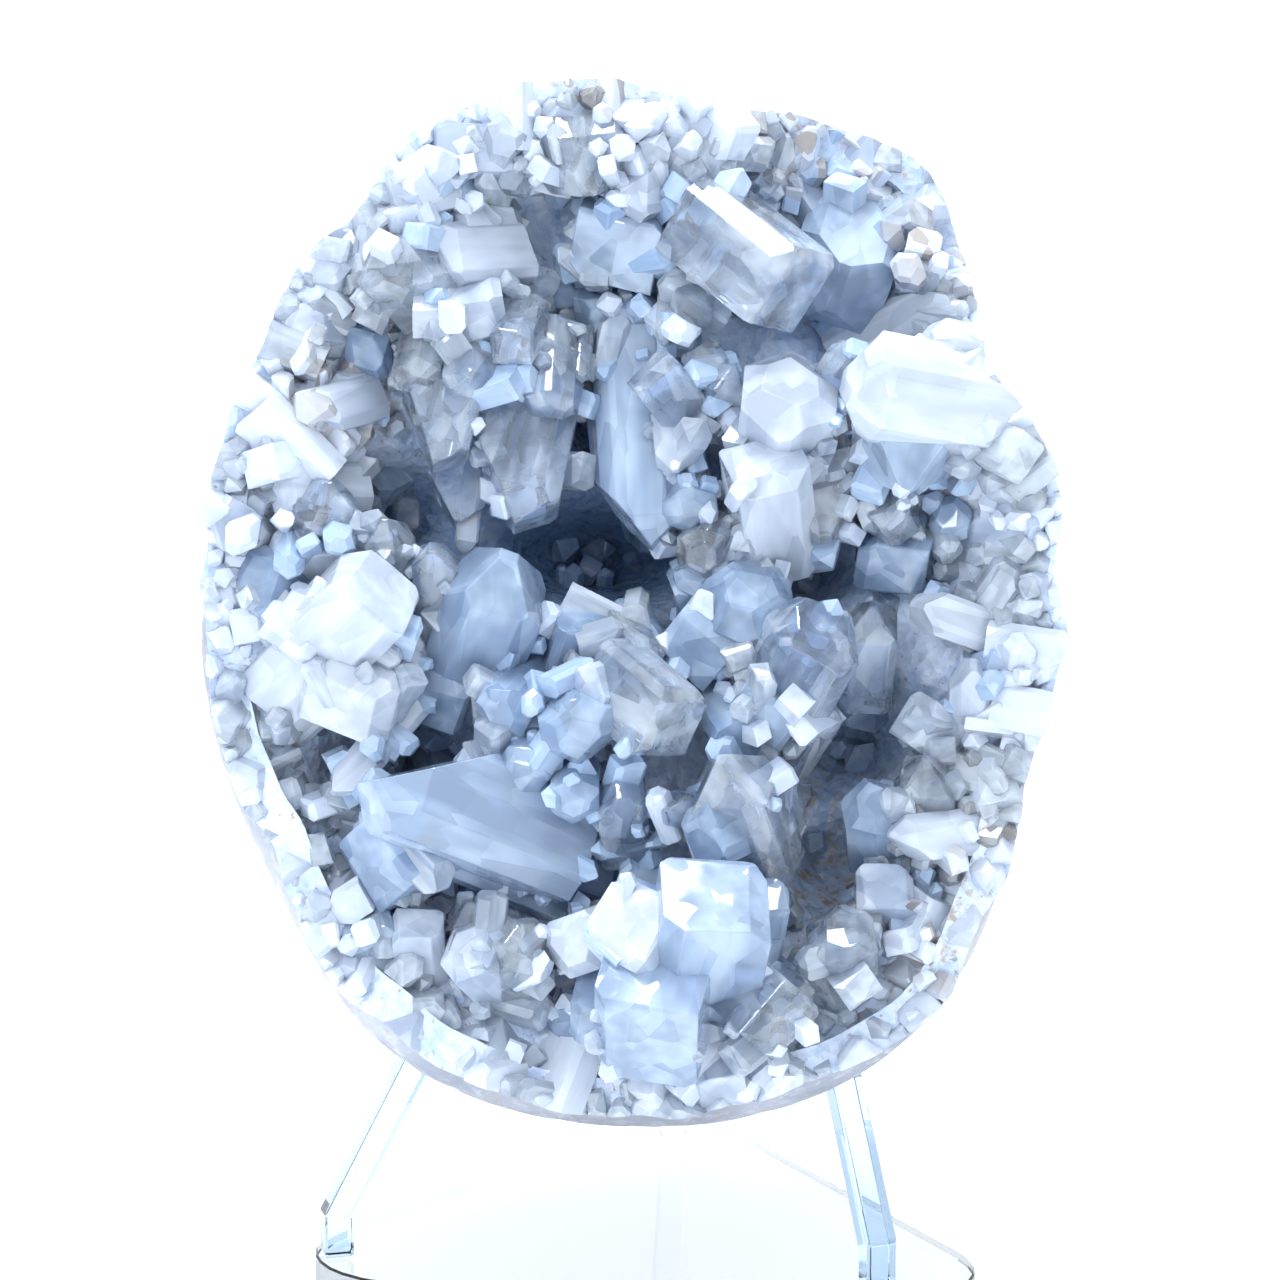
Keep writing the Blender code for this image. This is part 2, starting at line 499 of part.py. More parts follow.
def side_planes(form, width, thickness, rng):
    """The prism faces that take off the corners of the box a crystal starts from."""
    half_w, half_t = width / 2, thickness / 2
    planes = []
    if form == "hexagon":
        for angle in (60, 120, 240, 300):
            turn = math.radians(angle + rng.uniform(-5, 5))
            out = Vector((math.cos(turn), math.sin(turn), 0))
            planes.append((out * half_t * rng.uniform(0.9, 1.0), out))
        return planes
    for angle in (50, 130, 230, 310):
        if form == "block" and rng.random() < 0.4:
            continue
        turn = math.radians(angle + rng.uniform(-6, 6))
        out = Vector((math.cos(turn), math.sin(turn), 0))
        corner = abs(out.x) * half_w + abs(out.y) * half_t
        planes.append((out * corner * rng.uniform(0.74, 0.9), out))
    return planes


def crystal_mesh(length, width, thickness, form, rng):
    """One crystal with its tip at the origin, pointing along +Z: a box cut by its crystal faces."""
    bm = bmesh.new()
    bmesh.ops.create_cube(bm, size=1)
    bmesh.ops.scale(bm, vec=(width, thickness, length), verts=bm.verts)
    bmesh.ops.translate(bm, vec=(0, 0, -length / 2), verts=bm.verts)
    for point, normal in side_planes(form, width, thickness, rng) + end_planes(form, width, thickness, rng):
        cut(bm, point, normal)
    bmesh.ops.recalc_face_normals(bm, faces=bm.faces)
    return bm


def crystal_axes(heading, lean, roll):
    """Width, thickness and length directions for a heading in the picture plane and a lean out of it."""
    axis = Vector((math.cos(heading) * math.cos(lean), -math.sin(lean), math.sin(heading) * math.cos(lean)))
    across = Vector((math.sin(heading), 0, -math.cos(heading)))
    turned = Matrix.Rotation(roll, 3, axis)
    across = turned @ across
    return across, axis.cross(across), axis


def place_crystal(name, tip, axes, size, form, rng, collection):
    length, width, thickness = size
    bm = crystal_mesh(length, width, thickness, form, rng)
    turn = Matrix(axes).transposed().to_4x4()
    bm.transform(Matrix.Translation(tip) @ turn)
    bmesh.ops.recalc_face_normals(bm, faces=bm.faces)
    return helper(new_object(name, bm, collection))


def build_crystals(collection):
    for name, row in CRYSTALS.items():
        x, y, z, heading, lean, length, width, thickness, roll, form = row
        axes = crystal_axes(math.radians(heading), math.radians(lean), math.radians(roll))
        size = (length * MM, width * MM, thickness * MM)
        place_crystal(name, Vector((x, y, z)) * MM, axes, size, form, random.Random(name), collection)


def floor_normal(x, z):
    """Out of the floor, towards the viewer."""
    step = 0.5 * MM
    slope_x = (floor_depth(x + step, z) - floor_depth(x - step, z)) / (2 * step)
    slope_z = (floor_depth(x, z + step) - floor_depth(x, z - step)) / (2 * step)
    return Vector((slope_x, -1, slope_z)).normalized()


def filler_spots(rng):
    """Places on the floor that no named crystal takes, spaced apart."""
    taken = [Vector((row[0], row[2])) * MM for row in CRYSTALS.values()]
    spots = []
    for _ in range(FILLER_TRIES):
        x, z = rng.uniform(-HALF_WIDTH, HALF_WIDTH), rng.uniform(-HALF_HEIGHT, HALF_HEIGHT)
        here = Vector((x, z))
        if shape_share(x, z) > FILLER_REACH or any((here - spot).length < FILLER_SPACING for spot in spots):
            continue
        if any((here - spot).length < FILLER_CLEARANCE for spot in taken):
            continue
        spots.append(here)
        if len(spots) == FILLER_COUNT:
            break
    return spots


def build_fillers(collection):
    rng = random.Random(FILLER_SEED)
    for number, spot in enumerate(filler_spots(rng)):
        x, z = spot
        width = rng.uniform(*FILLER_WIDTH)
        wander = Vector([rng.uniform(-1, 1) for _ in range(3)])
        axis = (floor_normal(x, z) + 0.45 * wander).normalized()
        across = axis.orthogonal().normalized()
        across = Matrix.Rotation(rng.uniform(0, 2 * math.pi), 3, axis) @ across
        tip = Vector((x, floor_depth(x, z), z)) + axis * width * rng.uniform(0.5, 0.8)
        size = (2.0 * width, width, width * rng.uniform(0.7, 1.0))
        form = rng.choice(FILLER_FORMS)
        axes = (across, axis.cross(across), axis)
        place_crystal(f"filler_{number:02}", tip, axes, size, form, rng, collection)


def keep_largest_shell(mesh):
    """Drops chips cut loose at the rim and pockets sealed between crystals."""
    bm = bmesh.new()
    bm.from_mesh(mesh)
    shells, seen = [], set()
    for start in bm.verts:
        if start in seen:
            continue
        seen.add(start)
        shell, front = [], [start]
        while front:
            vert = front.pop()
            shell.append(vert)
            for edge in vert.link_edges:
                other = edge.other_vert(vert)
                if other not in seen:
                    seen.add(other)
                    front.append(other)
        shells.append(shell)
    largest = max(shells, key=len)
    loose = [vert for shell in shells if shell is not largest for vert in shell]
    bmesh.ops.delete(bm, geom=loose, context="VERTS")
    bmesh.ops.triangulate(bm, faces=bm.faces)
    bm.to_mesh(mesh)
    bm.free()


def build_rim_crystals(collection):
    """A wreath of crystals that lean out over the rim."""
    rng = random.Random(RIM_SEED)
    for number in range(RIM_COUNT):
        angle = 2 * math.pi * (number + rng.uniform(-0.3, 0.3)) / RIM_COUNT
        share = rng.uniform(*RIM_SHARES)
        radius = outline_radius(angle) * share
        x, z = radius * math.cos(angle), radius * math.sin(angle)
        outward = Vector((math.cos(angle), 0, math.sin(angle)))
        wander = Vector([rng.uniform(-1, 1) for _ in range(3)])
        axis = (Vector((0, -1, 0)) + 0.5 * outward + 0.4 * wander).normalized()
        across = Matrix.Rotation(rng.uniform(0, 2 * math.pi), 3, axis) @ axis.orthogonal().normalized()
        width = rng.uniform(*RIM_WIDTH)
        tip = Vector((x, rim_depth(angle), z)) + axis * width * rng.uniform(0.3, 0.6)
        size = (2.0 * width, width, width * rng.uniform(0.7, 1.0))
        form = rng.choice(FILLER_FORMS)
        place_crystal(f"rim_{number:02}", tip, (across, axis.cross(across), axis), size, form, rng, collection)


def join_crust(crust, crystals, limit):
    """Grows the crystals on the floor, fits the whole within the rind, and drops needless points."""
    grow = crust.modifiers.new("crystals", "BOOLEAN")
    grow.operation = "UNION"
    grow.operand_type = "COLLECTION"
    grow.collection = crystals
    fit = crust.modifiers.new("within the rind", "BOOLEAN")
    fit.operation = "INTERSECT"
    fit.object = limit
    graph = bpy.context.evaluated_depsgraph_get()
    joined = bpy.data.meshes.new_from_object(crust.evaluated_get(graph))
    keep_largest_shell(joined)
    crust.modifiers.clear()
    crust.data = joined
    thin = crust.modifiers.new("fewer points", "DECIMATE")
    thin.ratio = CRUST_SHARE_KEPT
    joined.materials.clear()
    joined.materials.append(material("celestite", (0.62, 0.72, 0.86), 0.08, 0.6, 1.62))


# The stand

def build_plate(collection):
    """Three round corners joined by straight sides, each corner under one arm."""
    curve = bpy.data.curves.new("stand_base", "CURVE")
    curve.dimensions = "2D"
    curve.fill_mode = "BOTH"
    curve.extrude = PLATE_THICKNESS / 2
    points = []
    corners = [Vector(corner) * MM for corner in PLATE_CORNERS]
    for before, corner, after in zip(corners[-1:] + corners[:-1], corners, corners[1:] + corners[:1]):
        first, last = corner - before, after - corner
        start = math.atan2(first.y, first.x) - math.pi / 2
        swing = (math.atan2(last.y, last.x) - math.pi / 2 - start) % (2 * math.pi)
        for step in range(CORNER_STEPS + 1):
            turn = start + swing * step / CORNER_STEPS
            points.append(corner + Vector((math.cos(turn), math.sin(turn))) * PLATE_CORNER_RADIUS)
    spline = curve.splines.new("POLY")
    spline.points.add(len(points) - 1)
    for point, (x, y) in zip(spline.points, points):
        point.co = (x, y, 0, 1)
    spline.use_cyclic_u = True
    plate = bpy.data.objects.new("stand_base", curve)
    plate.location.z = PLATE_THICKNESS / 2
    collection.objects.link(plate)
    weld = plate.modifiers.new("weld", "WELD")
    weld.merge_threshold = 0.00001
    edge = plate.modifiers.new("polished edge", "BEVEL")
    edge.width = PLATE_EDGE
    edge.limit_method = "ANGLE"
    edge.angle_limit = SHARP
    return plate


def square_section(middle, sideways, forward):
    half = BAR / 2
    return [middle + sideways * half * a + forward * half * b for a, b in ((-1, -1), (1, -1), (1, 1), (-1, 1))]


def build_arm(name, place, heading, stone, collection):
    """A square bar: straight up from the plate, a mitred bend, then in until it meets the stone."""
    out = Vector((math.cos(heading), math.sin(heading), 0))
    sideways = Vector((-out.y, out.x, 0))
    up = Vector((0, 0, 1))
    lean = up * math.cos(ARM_LEAN) - out * math.sin(ARM_LEAN)
    foot = place + up * (PLATE_THICKNESS + GAP)
    bend = place + up * ARM_BEND_HEIGHT
    mitre = out / math.cos(ARM_LEAN / 2)
    mitre = Matrix.Rotation(-ARM_LEAN / 2, 3, sideways) @ mitre
    leaning_out = out * math.cos(ARM_LEAN) + up * math.sin(ARM_LEAN)
    corners = square_section(bend, sideways, leaning_out)
    hits = [stone.ray_cast(corner, lean)[3] for corner in corners + [bend]]
    reach = min(hit for hit in hits if hit is not None) - GAP
    sections = [
        square_section(foot, sideways, out),
        square_section(bend, sideways, mitre),
        square_section(bend + lean * reach, sideways, leaning_out),
    ]
    bm = loft(sections)
    for ring in (bm.verts[:4], bm.verts[-4:]):
        bmesh.ops.contextual_create(bm, geom=ring)
    bmesh.ops.recalc_face_normals(bm, faces=bm.faces)
    arm = new_object(name, bm, collection)
    edge = arm.modifiers.new("polished edge", "BEVEL")
    edge.width = BAR_EDGE
    edge.limit_method = "ANGLE"
    edge.angle_limit = SHARP
    return arm


def build_stand(rind, collection):
    acrylic = material("clear_acrylic", (0.93, 0.97, 1.0), 0.03, 1.0, 1.49)
    stone = BVHTree.FromPolygons(
        [rind.matrix_world @ vert.co for vert in rind.data.vertices],
        [list(polygon.vertices) for polygon in rind.data.polygons],
    )
    pieces = [build_plate(collection)]
    for side, (x, y, heading) in ARMS.items():
        place = Vector((x, y, 0)) * MM
        pieces.append(build_arm(f"stand_arm_{side}", place, math.radians(heading), stone, collection))
    for piece in pieces:
        piece.data.materials.append(acrylic)


def main():
    clear_scene()
    pieces = new_collection("celestite geode")
    cutters = new_collection("cutters")
    crystals = bpy.data.collections.new("crystal bodies")
    cutters.children.link(crystals)

    stands_at = bpy.data.objects.new("geode_place", None)
    stands_at.location = GEODE_PLACE
    stands_at.rotation_euler.x = -GEODE_TILT
    pieces.objects.link(stands_at)

    rind = build_rind(pieces)
    crust = build_floor(pieces)
    limit = build_crust_limit(cutters)
    build_crystals(crystals)
    build_fillers(crystals)
    build_rim_crystals(crystals)
    join_crust(crust, crystals, limit)
    for obj in [rind, crust, limit, *crystals.objects]:
        obj.parent = stands_at
    bpy.context.view_layer.update()
    build_stand(rind, pieces)


main()
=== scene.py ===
"""Looks of a celestite geode on its clear stand: crystals, crust, ground rind, acrylic, light and camera.

Metres, +Z up. Stone and crystals are made in the geode's own frame: x to the right and z up as seen
from the front, y into the stone with the rim near y = 0. GEODE puts that frame on the stand.
"""
import json
import math
import random

import bmesh
import bpy
from mathutils import Matrix, Vector, noise
from mathutils.bvhtree import BVHTree

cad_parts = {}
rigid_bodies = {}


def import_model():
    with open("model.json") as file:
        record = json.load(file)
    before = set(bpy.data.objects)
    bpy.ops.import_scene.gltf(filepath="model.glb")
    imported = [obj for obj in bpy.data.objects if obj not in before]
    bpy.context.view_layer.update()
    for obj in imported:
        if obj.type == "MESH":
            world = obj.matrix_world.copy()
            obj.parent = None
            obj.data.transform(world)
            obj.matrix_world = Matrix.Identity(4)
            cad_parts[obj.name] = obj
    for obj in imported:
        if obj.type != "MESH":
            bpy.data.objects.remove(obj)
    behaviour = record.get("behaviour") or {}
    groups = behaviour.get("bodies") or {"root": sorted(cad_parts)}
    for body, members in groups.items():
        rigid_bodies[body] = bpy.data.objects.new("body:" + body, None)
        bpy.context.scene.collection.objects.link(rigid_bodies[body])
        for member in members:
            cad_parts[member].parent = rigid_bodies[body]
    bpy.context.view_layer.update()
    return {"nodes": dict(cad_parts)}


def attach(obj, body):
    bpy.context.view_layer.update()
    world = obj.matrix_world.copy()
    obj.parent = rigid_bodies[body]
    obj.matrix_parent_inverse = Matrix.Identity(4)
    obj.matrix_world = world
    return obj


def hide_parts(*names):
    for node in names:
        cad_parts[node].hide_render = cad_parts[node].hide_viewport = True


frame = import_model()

MM = 0.001
GAP = 0.3 * MM  # kept between pieces that touch
TO_VIEWER = Vector((0, -1, 0))

# The ground outside of the geode, as in the solids
HALF_WIDTH = 43.6 * MM
HALF_HEIGHT = 53.6 * MM
BACK_DEPTH = 42 * MM  # from the widest section to the back
BACK_FULLNESS = 0.9  # exponent of the outside's curve behind the widest section, 1 being an ellipse
FRONT_DEPTH = 28 * MM  # how far the outside would still curve on, had it not been opened
WIDEST = 6 * MM  # how far the widest section lies behind the rim
WIDEST_SWING = 4 * MM  # it lies this much deeper at the bottom
WIDEST_HEADING = 250  # degrees round the outline
SWING_ENDS = 0.6  # from this share of the way to the back the swing dies out
TOP_FULLNESS, BOTTOM_FULLNESS = 2.0, 2.3  # exponents of the outline, 2 being an ellipse
# Where the ground outline leaves that curve: heading and half width in degrees, and mm outwards
OUTLINE_BULGES = {
    "right_flat": (4, 10, -1.8),
    "below_notch": (31, 15, -5.6),
    "upper_right_shoulder": (57, 12, 4.4),
    "top_dip": (82, 8, -2.4),
    "top_flat": (92, 16, -2.6),
    "upper_left_dip": (127, 8, -1.4),
    "upper_left_flat": (150, 8, -1.2),
    "left_bulge": (185, 10, 0.8),
    "lower_left_flat": (222, 16, -1.6),
    "lower_right_flat": (336, 20, -3.0),
}
RIND_THICKNESS = 2.4 * MM
RIM_WAVE = 0.9 * MM
RIM_WAVES, RIM_CHIPS = 2.7, 9  # how closely the rim waves and is chipped
GRINDING_LUMP = 0.8 * MM
NOTCH_DEPTH = 12 * MM  # the rim steps back at the upper right
NOTCH_FROM, NOTCH_TO = 30, 84  # degrees round the outline, 0 at the right, 90 at the top
NOTCH_EASE = 18  # degrees over which it steps back
OVERHANG = 1.1 * MM  # how far the crust hangs out over the rim
OVERHANG_WAVE = 1.4 * MM
OVERHANG_WAVES = 6  # how closely its edge waves
BEFORE_RIM = Vector((0, -2 * GAP, 0))
COVER = 1.5 * MM  # how thick the crust lies on the rim
WALL_SEGMENTS, WALL_RINGS, INNER_RINGS = 216, 44, 14
RIND_EDGE = math.radians(45)  # the rind is shaded smooth up to this angle
PIT_DEPTH = 0.45 * MM
PIT_WIDTH, SCRAPE_WIDTH = 9 * MM, 2.2 * MM

# How the geode stands
GEODE_PLACE = Vector((0.7 * MM, -18 * MM, 75 * MM))
GEODE_TILT = math.radians(13)
GEODE = Matrix.Translation(GEODE_PLACE) @ Matrix.Rotation(-GEODE_TILT, 4, "X")

# The hollow: bumps added to the depth of its floor, as x, z, half width, half height and depth in mm
HOLLOW_DEPTH = 9.5 * MM
RELIEF = {
    "cave": (-4, 5, 12, 6, 19),
    "cave_throat": (-5, 20, 3.5, 6, 12),
    "cave_left_arm": (-24, 9, 8, 4.5, 9),
    "left_gap": (-24.5, -17.5, 6.5, 4, 12),
    "right_gap": (16, 4, 5, 4.5, 8),
    "right_pocket": (22, -15, 9, 5, 9),
    "lower_right_pocket": (21, -27, 7, 5, 7),
    "top_shadow": (-8, 39, 6, 4.5, 6),
    "shadow_under_top": (-2, 26, 6, 5, 7),
    "upper_right_notch": (23, 36, 12, 10, 6),
    "middle_mound": (-7, -12, 11, 12, -5),
    "bottom_shoulder": (5, -38, 10, 10, -5),
    "right_shelf": (29, 19, 12, 9, -6),
    "left_ledge": (-33, -3, 10, 8, -5),
}
FLOOR_RINGS = 60
FLOOR_LUMP = 0.9 * MM
FLOOR_CELL, FLOOR_GRAIN = 3.4 * MM, 1.1 * MM
FLOOR_EDGE = 0.06  # the lumps fade out over this share of the way to the edge

# Crystals that can be told apart, as in the solids. x, y, z of the tip in mm; heading in the
# picture plane (0 right, 90 up) and lean out of it, in degrees; length, width, thickness in mm;
# roll about the long axis in degrees; the form of the end.
CRYSTALS = {
    # along the top
    "top_bar": (-21.3, -1, 44.6, 180, 20, 12, 4.8, 5, 10, "block"),
    "top_block": (-25.7, -1, 39.6, 200, 30, 10, 6, 6, 0, "block"),
    "top_facet_block": (-21, -2, 33.4, 190, 40, 11, 7, 6, 15, "block"),
    "left_brow": (-26.5, -5, 29.6, 205, 48, 14, 9.5, 8.5, 20, "point"),
    "left_brow_small": (-27.4, 0, 39, 160, 30, 7, 3.4, 3.4, 0, "block"),
    "left_brow_block": (-28.5, -1, 35.5, 170, 30, 8, 4.5, 4, 0, "block"),
    "top_point": (-5.1, -4, 39.8, 272, 42, 13, 10, 8, 0, "point"),
    "top_point_small": (0.9, -3, 38.1, 280, 50, 9, 6, 5, 20, "point"),
    "top_peak": (6.2, 0, 49.4, 80, 25, 13, 9, 7, 0, "point"),
    "top_hero": (15.2, -9, 29.4, 316, 38, 16, 8.8, 8, 24, "block"),
    "top_grey_block": (-2.6, 0.5, 34.6, 250, 62, 11, 8.8, 7.5, 8, "block"),
    "top_grey_side": (4.3, 0, 34.1, 240, 55, 9, 4.8, 5, 0, "block"),
    "hanging_clear": (4.9, -2, 26.8, 262, 45, 8, 4.4, 4, 0, "point"),
    "hanging_clear_small": (2.7, -1, 25, 266, 30, 7, 2.6, 2.6, 0, "point"),
    "shadow_block": (-1.6, 5, 26.1, 262, 62, 11, 10, 9, 12, "block"),
    "cluster_left": (5.9, -3, 24.6, 120, 55, 8, 4.2, 3.6, 0, "point"),
    "cluster_right": (9.4, -3, 22.6, 60, 60, 8, 4.4, 4, 30, "point"),
    "milky_hexagon": (14.9, -8.5, 20.6, 84, 64, 15, 9.4, 9.6, 0, "hexagon"),
    "milky_step": (12.4, -6.5, 13.4, 100, 48, 14, 7.8, 8, 8, "block"),
    "right_splinter": (20.7, -8, 23.6, 55, 42, 8, 4, 3, 0, "block"),
    # the notch at the upper right
    "notch_ridge": (13.8, 7, 41.5, 300, 45, 13, 7, 6, 20, "blade"),
    "notch_block": (18.8, 11, 42, 30, 42, 11, 7, 6, 10, "block"),
    "notch_white_block": (24.2, 12, 44, 60, 40, 11, 5.2, 5, 20, "block"),
    "notch_wedge": (19.4, 2.5, 30, 252, 52, 18, 10.5, 9, 0, "blade"),
    "notch_clear": (25.6, 5, 33, 20, 55, 11, 5.6, 5, 0, "point"),
    "notch_square": (29.4, 4, 34, 60, 50, 9, 3.8, 4.2, 0, "block"),
    "notch_blade": (31.8, 6, 31.2, 28, 22, 14, 6, 5, 0, "blade"),
    # the right side
    "right_hero": (20.8, -10.5, 20.4, 172, 24, 22, 10, 9.6, 14, "hexagon"),
    "right_hero_side": (35.6, -7.5, 20.6, 30, 54, 15, 9, 8, 0, "block"),
    "right_hanging": (26.7, -8.5, 9.8, 264, 36, 15, 10.4, 8, 0, "point"),
    "right_rim_high": (38, -2, 12.8, 0, 45, 10, 7, 6, 20, "block"),
    "right_rim_middle": (40.6, 0, 5.2, 350, 40, 10, 6, 6, 0, "point"),
    "right_rim_low": (40.6, 1, -1.4, 10, 40, 10, 6, 5.5, 30, "block"),
    "right_sheet": (19, -2, 5.6, 282, 40, 14, 8.4, 7, 0, "point"),
    "right_sheet_small": (25, -2.5, 5, 270, 36, 10, 5, 5, 20, "point"),
    "right_dark_block": (25, 1, 2.4, 250, 52, 10, 7.2, 6, 10, "block"),
    "right_blade": (27.2, -2, -1, 162, 30, 12, 4.4, 4, 0, "blade"),
    "right_post": (23.1, -2, -0.9, 88, 46, 13, 5.4, 5, 0, "point"),
    "right_sparkler": (18, -8.5, -3, 62, 44, 17, 9.6, 8.6, -28, "hexagon"),
    "right_sparkler_foot": (12, -5, -12.4, 235, 50, 11, 6.8, 6, 0, "block"),
    "grey_block": (37.4, 1, -7.6, 60, 45, 9, 5.2, 5, 0, "block"),
    "right_twin_tall": (33.4, -1.5, -6.6, 88, 35, 12, 4.8, 3.6, 0, "blade"),
    "right_twin_low": (36, 0, -9.8, 70, 35, 11, 4.2, 3.6, 0, "blade"),
    "right_pocket_block": (27.2, 0, -12, 145, 42, 11, 5.2, 4.6, 0, "block"),
    "lower_right_round": (23.4, -2, -20.4, 100, 62, 11, 6.8, 6.4, 0, "hexagon"),
    "lower_right_apex": (28.9, -3, -16.2, 86, 46, 12, 5.6, 5.2, 0, "point"),
    "lower_right_arrow": (24.6, -3, -24.4, 186, 26, 12, 4.8, 4.2, 0, "point"),
    "lower_right_pale": (24.4, -1, -28.8, 90, 60, 10, 5.8, 5, 0, "block"),
    "lower_right_bright": (19.8, -5, -33, 96, 56, 13, 6.8, 7.4, 0, "hexagon"),
    "lower_right_rim": (29.5, 0, -33.6, 320, 50, 10, 6, 5.4, 15, "block"),
    "lower_right_rim_high": (33.4, 0, -24.6, 350, 45, 10, 5.6, 5, 0, "block"),
    # round the cave
    "hanging_blade": (0.2, 2, 4.8, 274, 12, 23, 7.6, 5.6, 0, "chisel"),
    "cave_sparkler": (1, -3.5, 22.4, 130, 42, 10, 5.2, 4.4, 0, "block"),
    "cave_sparkler_foot": (3.9, -1.5, 12.4, 276, 34, 11, 4.4, 4, 0, "point"),
    "bubbly_high": (5.2, -1, 8.2, 280, 62, 9, 5.4, 5, 0, "hexagon"),
    "bubbly_middle": (6.2, -2.5, 3.6, 240, 64, 10, 6, 5.6, 30, "hexagon"),
    "bubbly_low": (3.4, -0.5, 0.8, 200, 56, 9, 4.6, 4.4, 0, "point"),
    "round_mound": (10.6, -5.5, 0.2, 100, 66, 13, 8.8, 8.8, 0, "hexagon"),
    "cave_lip_block": (5.2, -3.5, -5.6, 230, 56, 11, 6.8, 6.4, 0, "block"),
    "cave_lip_blade": (-2, 1.5, -0.4, 100, 32, 11, 6, 3.6, 0, "blade"),
    "cave_lip_square": (-5.4, -1.5, -2, 70, 42, 11, 5.8, 5, 20, "block"),
    "white_facet": (3.6, -9.5, -13.4, 318, 40, 11, 7.8, 6.4, 30, "block"),
    "white_facet_left": (-5.6, -6.5, -9.8, 200, 52, 10, 4.8, 4.2, 0, "block"),
    "blue_pyramid": (-12.7, -5, 3.7, 66, 38, 17, 10, 9.4, 12, "point"),
    "striped_post": (-20.4, -2.5, 5, 93, 30, 15, 4.8, 4.2, 0, "blade"),
    "left_post": (-24.9, -4, 7.4, 90, 46, 11, 5, 4.6, 0, "point"),
    "pendant_main": (-13.8, -1.5, 6.8, 259, 18, 19, 10.4, 8, 0, "chisel"),
    "pendant_left": (-21.6, -3, 12.6, 256, 18, 14, 8.2, 6, 0, "chisel"),
    "pendant_behind": (-19, 3, 7.2, 262, 12, 13, 6.2, 5, 0, "blade"),
    "pendant_small": (-17.5, 2, 4.1, 266, 12, 9, 2.4, 2.2, 0, "point"),
    "roof_round": (-9.3, -2.5, 18.1, 268, 34, 11, 5.4, 5, 0, "hexagon"),
    "roof_bright": (-12.9, -5.5, 24.2, 250, 56, 9, 4.2, 3.8, 20, "block"),
    "roof_middle": (-17, -4, 19.9, 266, 42, 11, 5.6, 5.2, 0, "hexagon"),
    "roof_left": (-22.2, -3.5, 20.8, 262, 42, 10, 5, 4.6, 15, "hexagon"),
    "roof_prism": (-20.3, -4, 26.4, 268, 40, 11, 4.6, 4.4, 0, "block"),
    "roof_block": (-15.8, -4, 26.8, 280, 54, 10, 5.2, 5, 0, "block"),
    # the left side
    "left_rim_bar": (-38.6, 0, 19.6, 180, 22, 10, 3.8, 4, 0, "block"),
    "left_rim_point": (-33.6, -2.5, 17.6, 202, 46, 10, 5, 4.4, 0, "point"),
    "left_spur": (-42.6, 1.5, 17, 176, 16, 11, 3.2, 3.2, 0, "block"),
    "left_stack_high": (-38.2, -1.5, 14.2, 190, 32, 11, 4.8, 4.4, 0, "block"),
    "left_stack_low": (-36, -2, 10.4, 184, 40, 10, 5, 4.4, 10, "block"),
    "left_hexagon": (-30.7, -4, 9.2, 60, 66, 11, 6.2, 6.4, 0, "hexagon"),
    "left_ledge_top": (-38.4, -3, 1.8, 150, 50, 12, 7.2, 5.2, 10, "block"),
    "left_ledge_pale": (-33.2, -2, 5.6, 100, 50, 10, 8.4, 4.4, 0, "block"),
    "left_ledge_sparkler": (-33.4, -6.5, -2.4, 120, 60, 13, 7.4, 6.6, 25, "block"),
    "left_wedge": (-25.4, -8.5, 0.4, 42, 36, 18, 8.6, 8.2, 18, "block"),
    "left_low_block": (-29.2, -6.5, -11.2, 240, 56, 14, 9.4, 7.4, 10, "block"),
    "left_hook": (-36.6, -1, -14.6, 262, 32, 10, 3.4, 3.2, 0, "blade"),
    "left_low_clear": (-31.2, -1, -21, 200, 50, 9, 4.6, 4.2, 0, "point"),
    "gap_splinter": (-30.2, -2.5, -20, 231, 16, 14, 3.8, 3.2, 0, "blade"),
    "gap_teal": (-20.8, 0, -11, 250, 56, 11, 6.8, 6, 0, "block"),
    # below the cave
    "lavender_hero": (-26.6, -9, -17.4, 158, 27, 24, 11, 9, 14, "chisel"),
    "teal_block": (-26.4, -4, -26.6, 196, 50, 14, 8, 7.2, 20, "block"),
    "teal_foot": (-27.6, -1.5, -31.8, 110, 56, 11, 5.4, 6, 0, "block"),
    "low_square": (-22, -2.5, -32.4, 92, 50, 10, 5.2, 4.2, 0, "block"),
    "low_point": (-17.2, -3.5, -30.6, 100, 46, 10, 4.2, 3.8, 0, "point"),
    "low_round_left": (-17, -5.5, -34.6, 130, 62, 12, 6.8, 6, 0, "hexagon"),
    "low_round_right": (-11.2, -5.5, -34.2, 60, 62, 12, 6.2, 6, 0, "hexagon"),
    "mound_left": (-13.8, -6.5, -12.2, 240, 62, 11, 5.6, 5.6, 0, "hexagon"),
    "mound_low_left": (-12, -6.5, -18, 230, 60, 11, 5.2, 5.2, 0, "hexagon"),
    "mound_milky": (-6, -8.5, -14.2, 280, 66, 13, 7.4, 6.8, 0, "hexagon"),
    "mound_low": (-6.4, -7.5, -21, 270, 62, 11, 4.8, 5, 0, "hexagon"),
    "mound_post": (-2, -6.5, -18.4, 95, 50, 11, 5, 5, 0, "blade"),
    "triangle_facet": (7.6, -9, -16.4, 112, 42, 15, 8.4, 7.4, -30, "point"),
    "triangle_foot": (5.8, -8, -24.4, 205, 46, 11, 6.6, 5, 0, "block"),
    "triangle_splinter": (1.8, -6.5, -20.8, 165, 40, 9, 3.6, 3.6, 0, "blade"),
    "chevron": (15.2, -3.5, -18.6, 58, 42, 11, 5.4, 5.2, 0, "point"),
    "pocket_sheet": (11.2, -3.5, -14.4, 300, 52, 11, 7.4, 6, 0, "block"),
    # the bottom, nearest to the viewer
    "near_hero": (7.4, -14.5, -29.2, 80, 52, 21, 10.6, 9.6, 10, "block"),
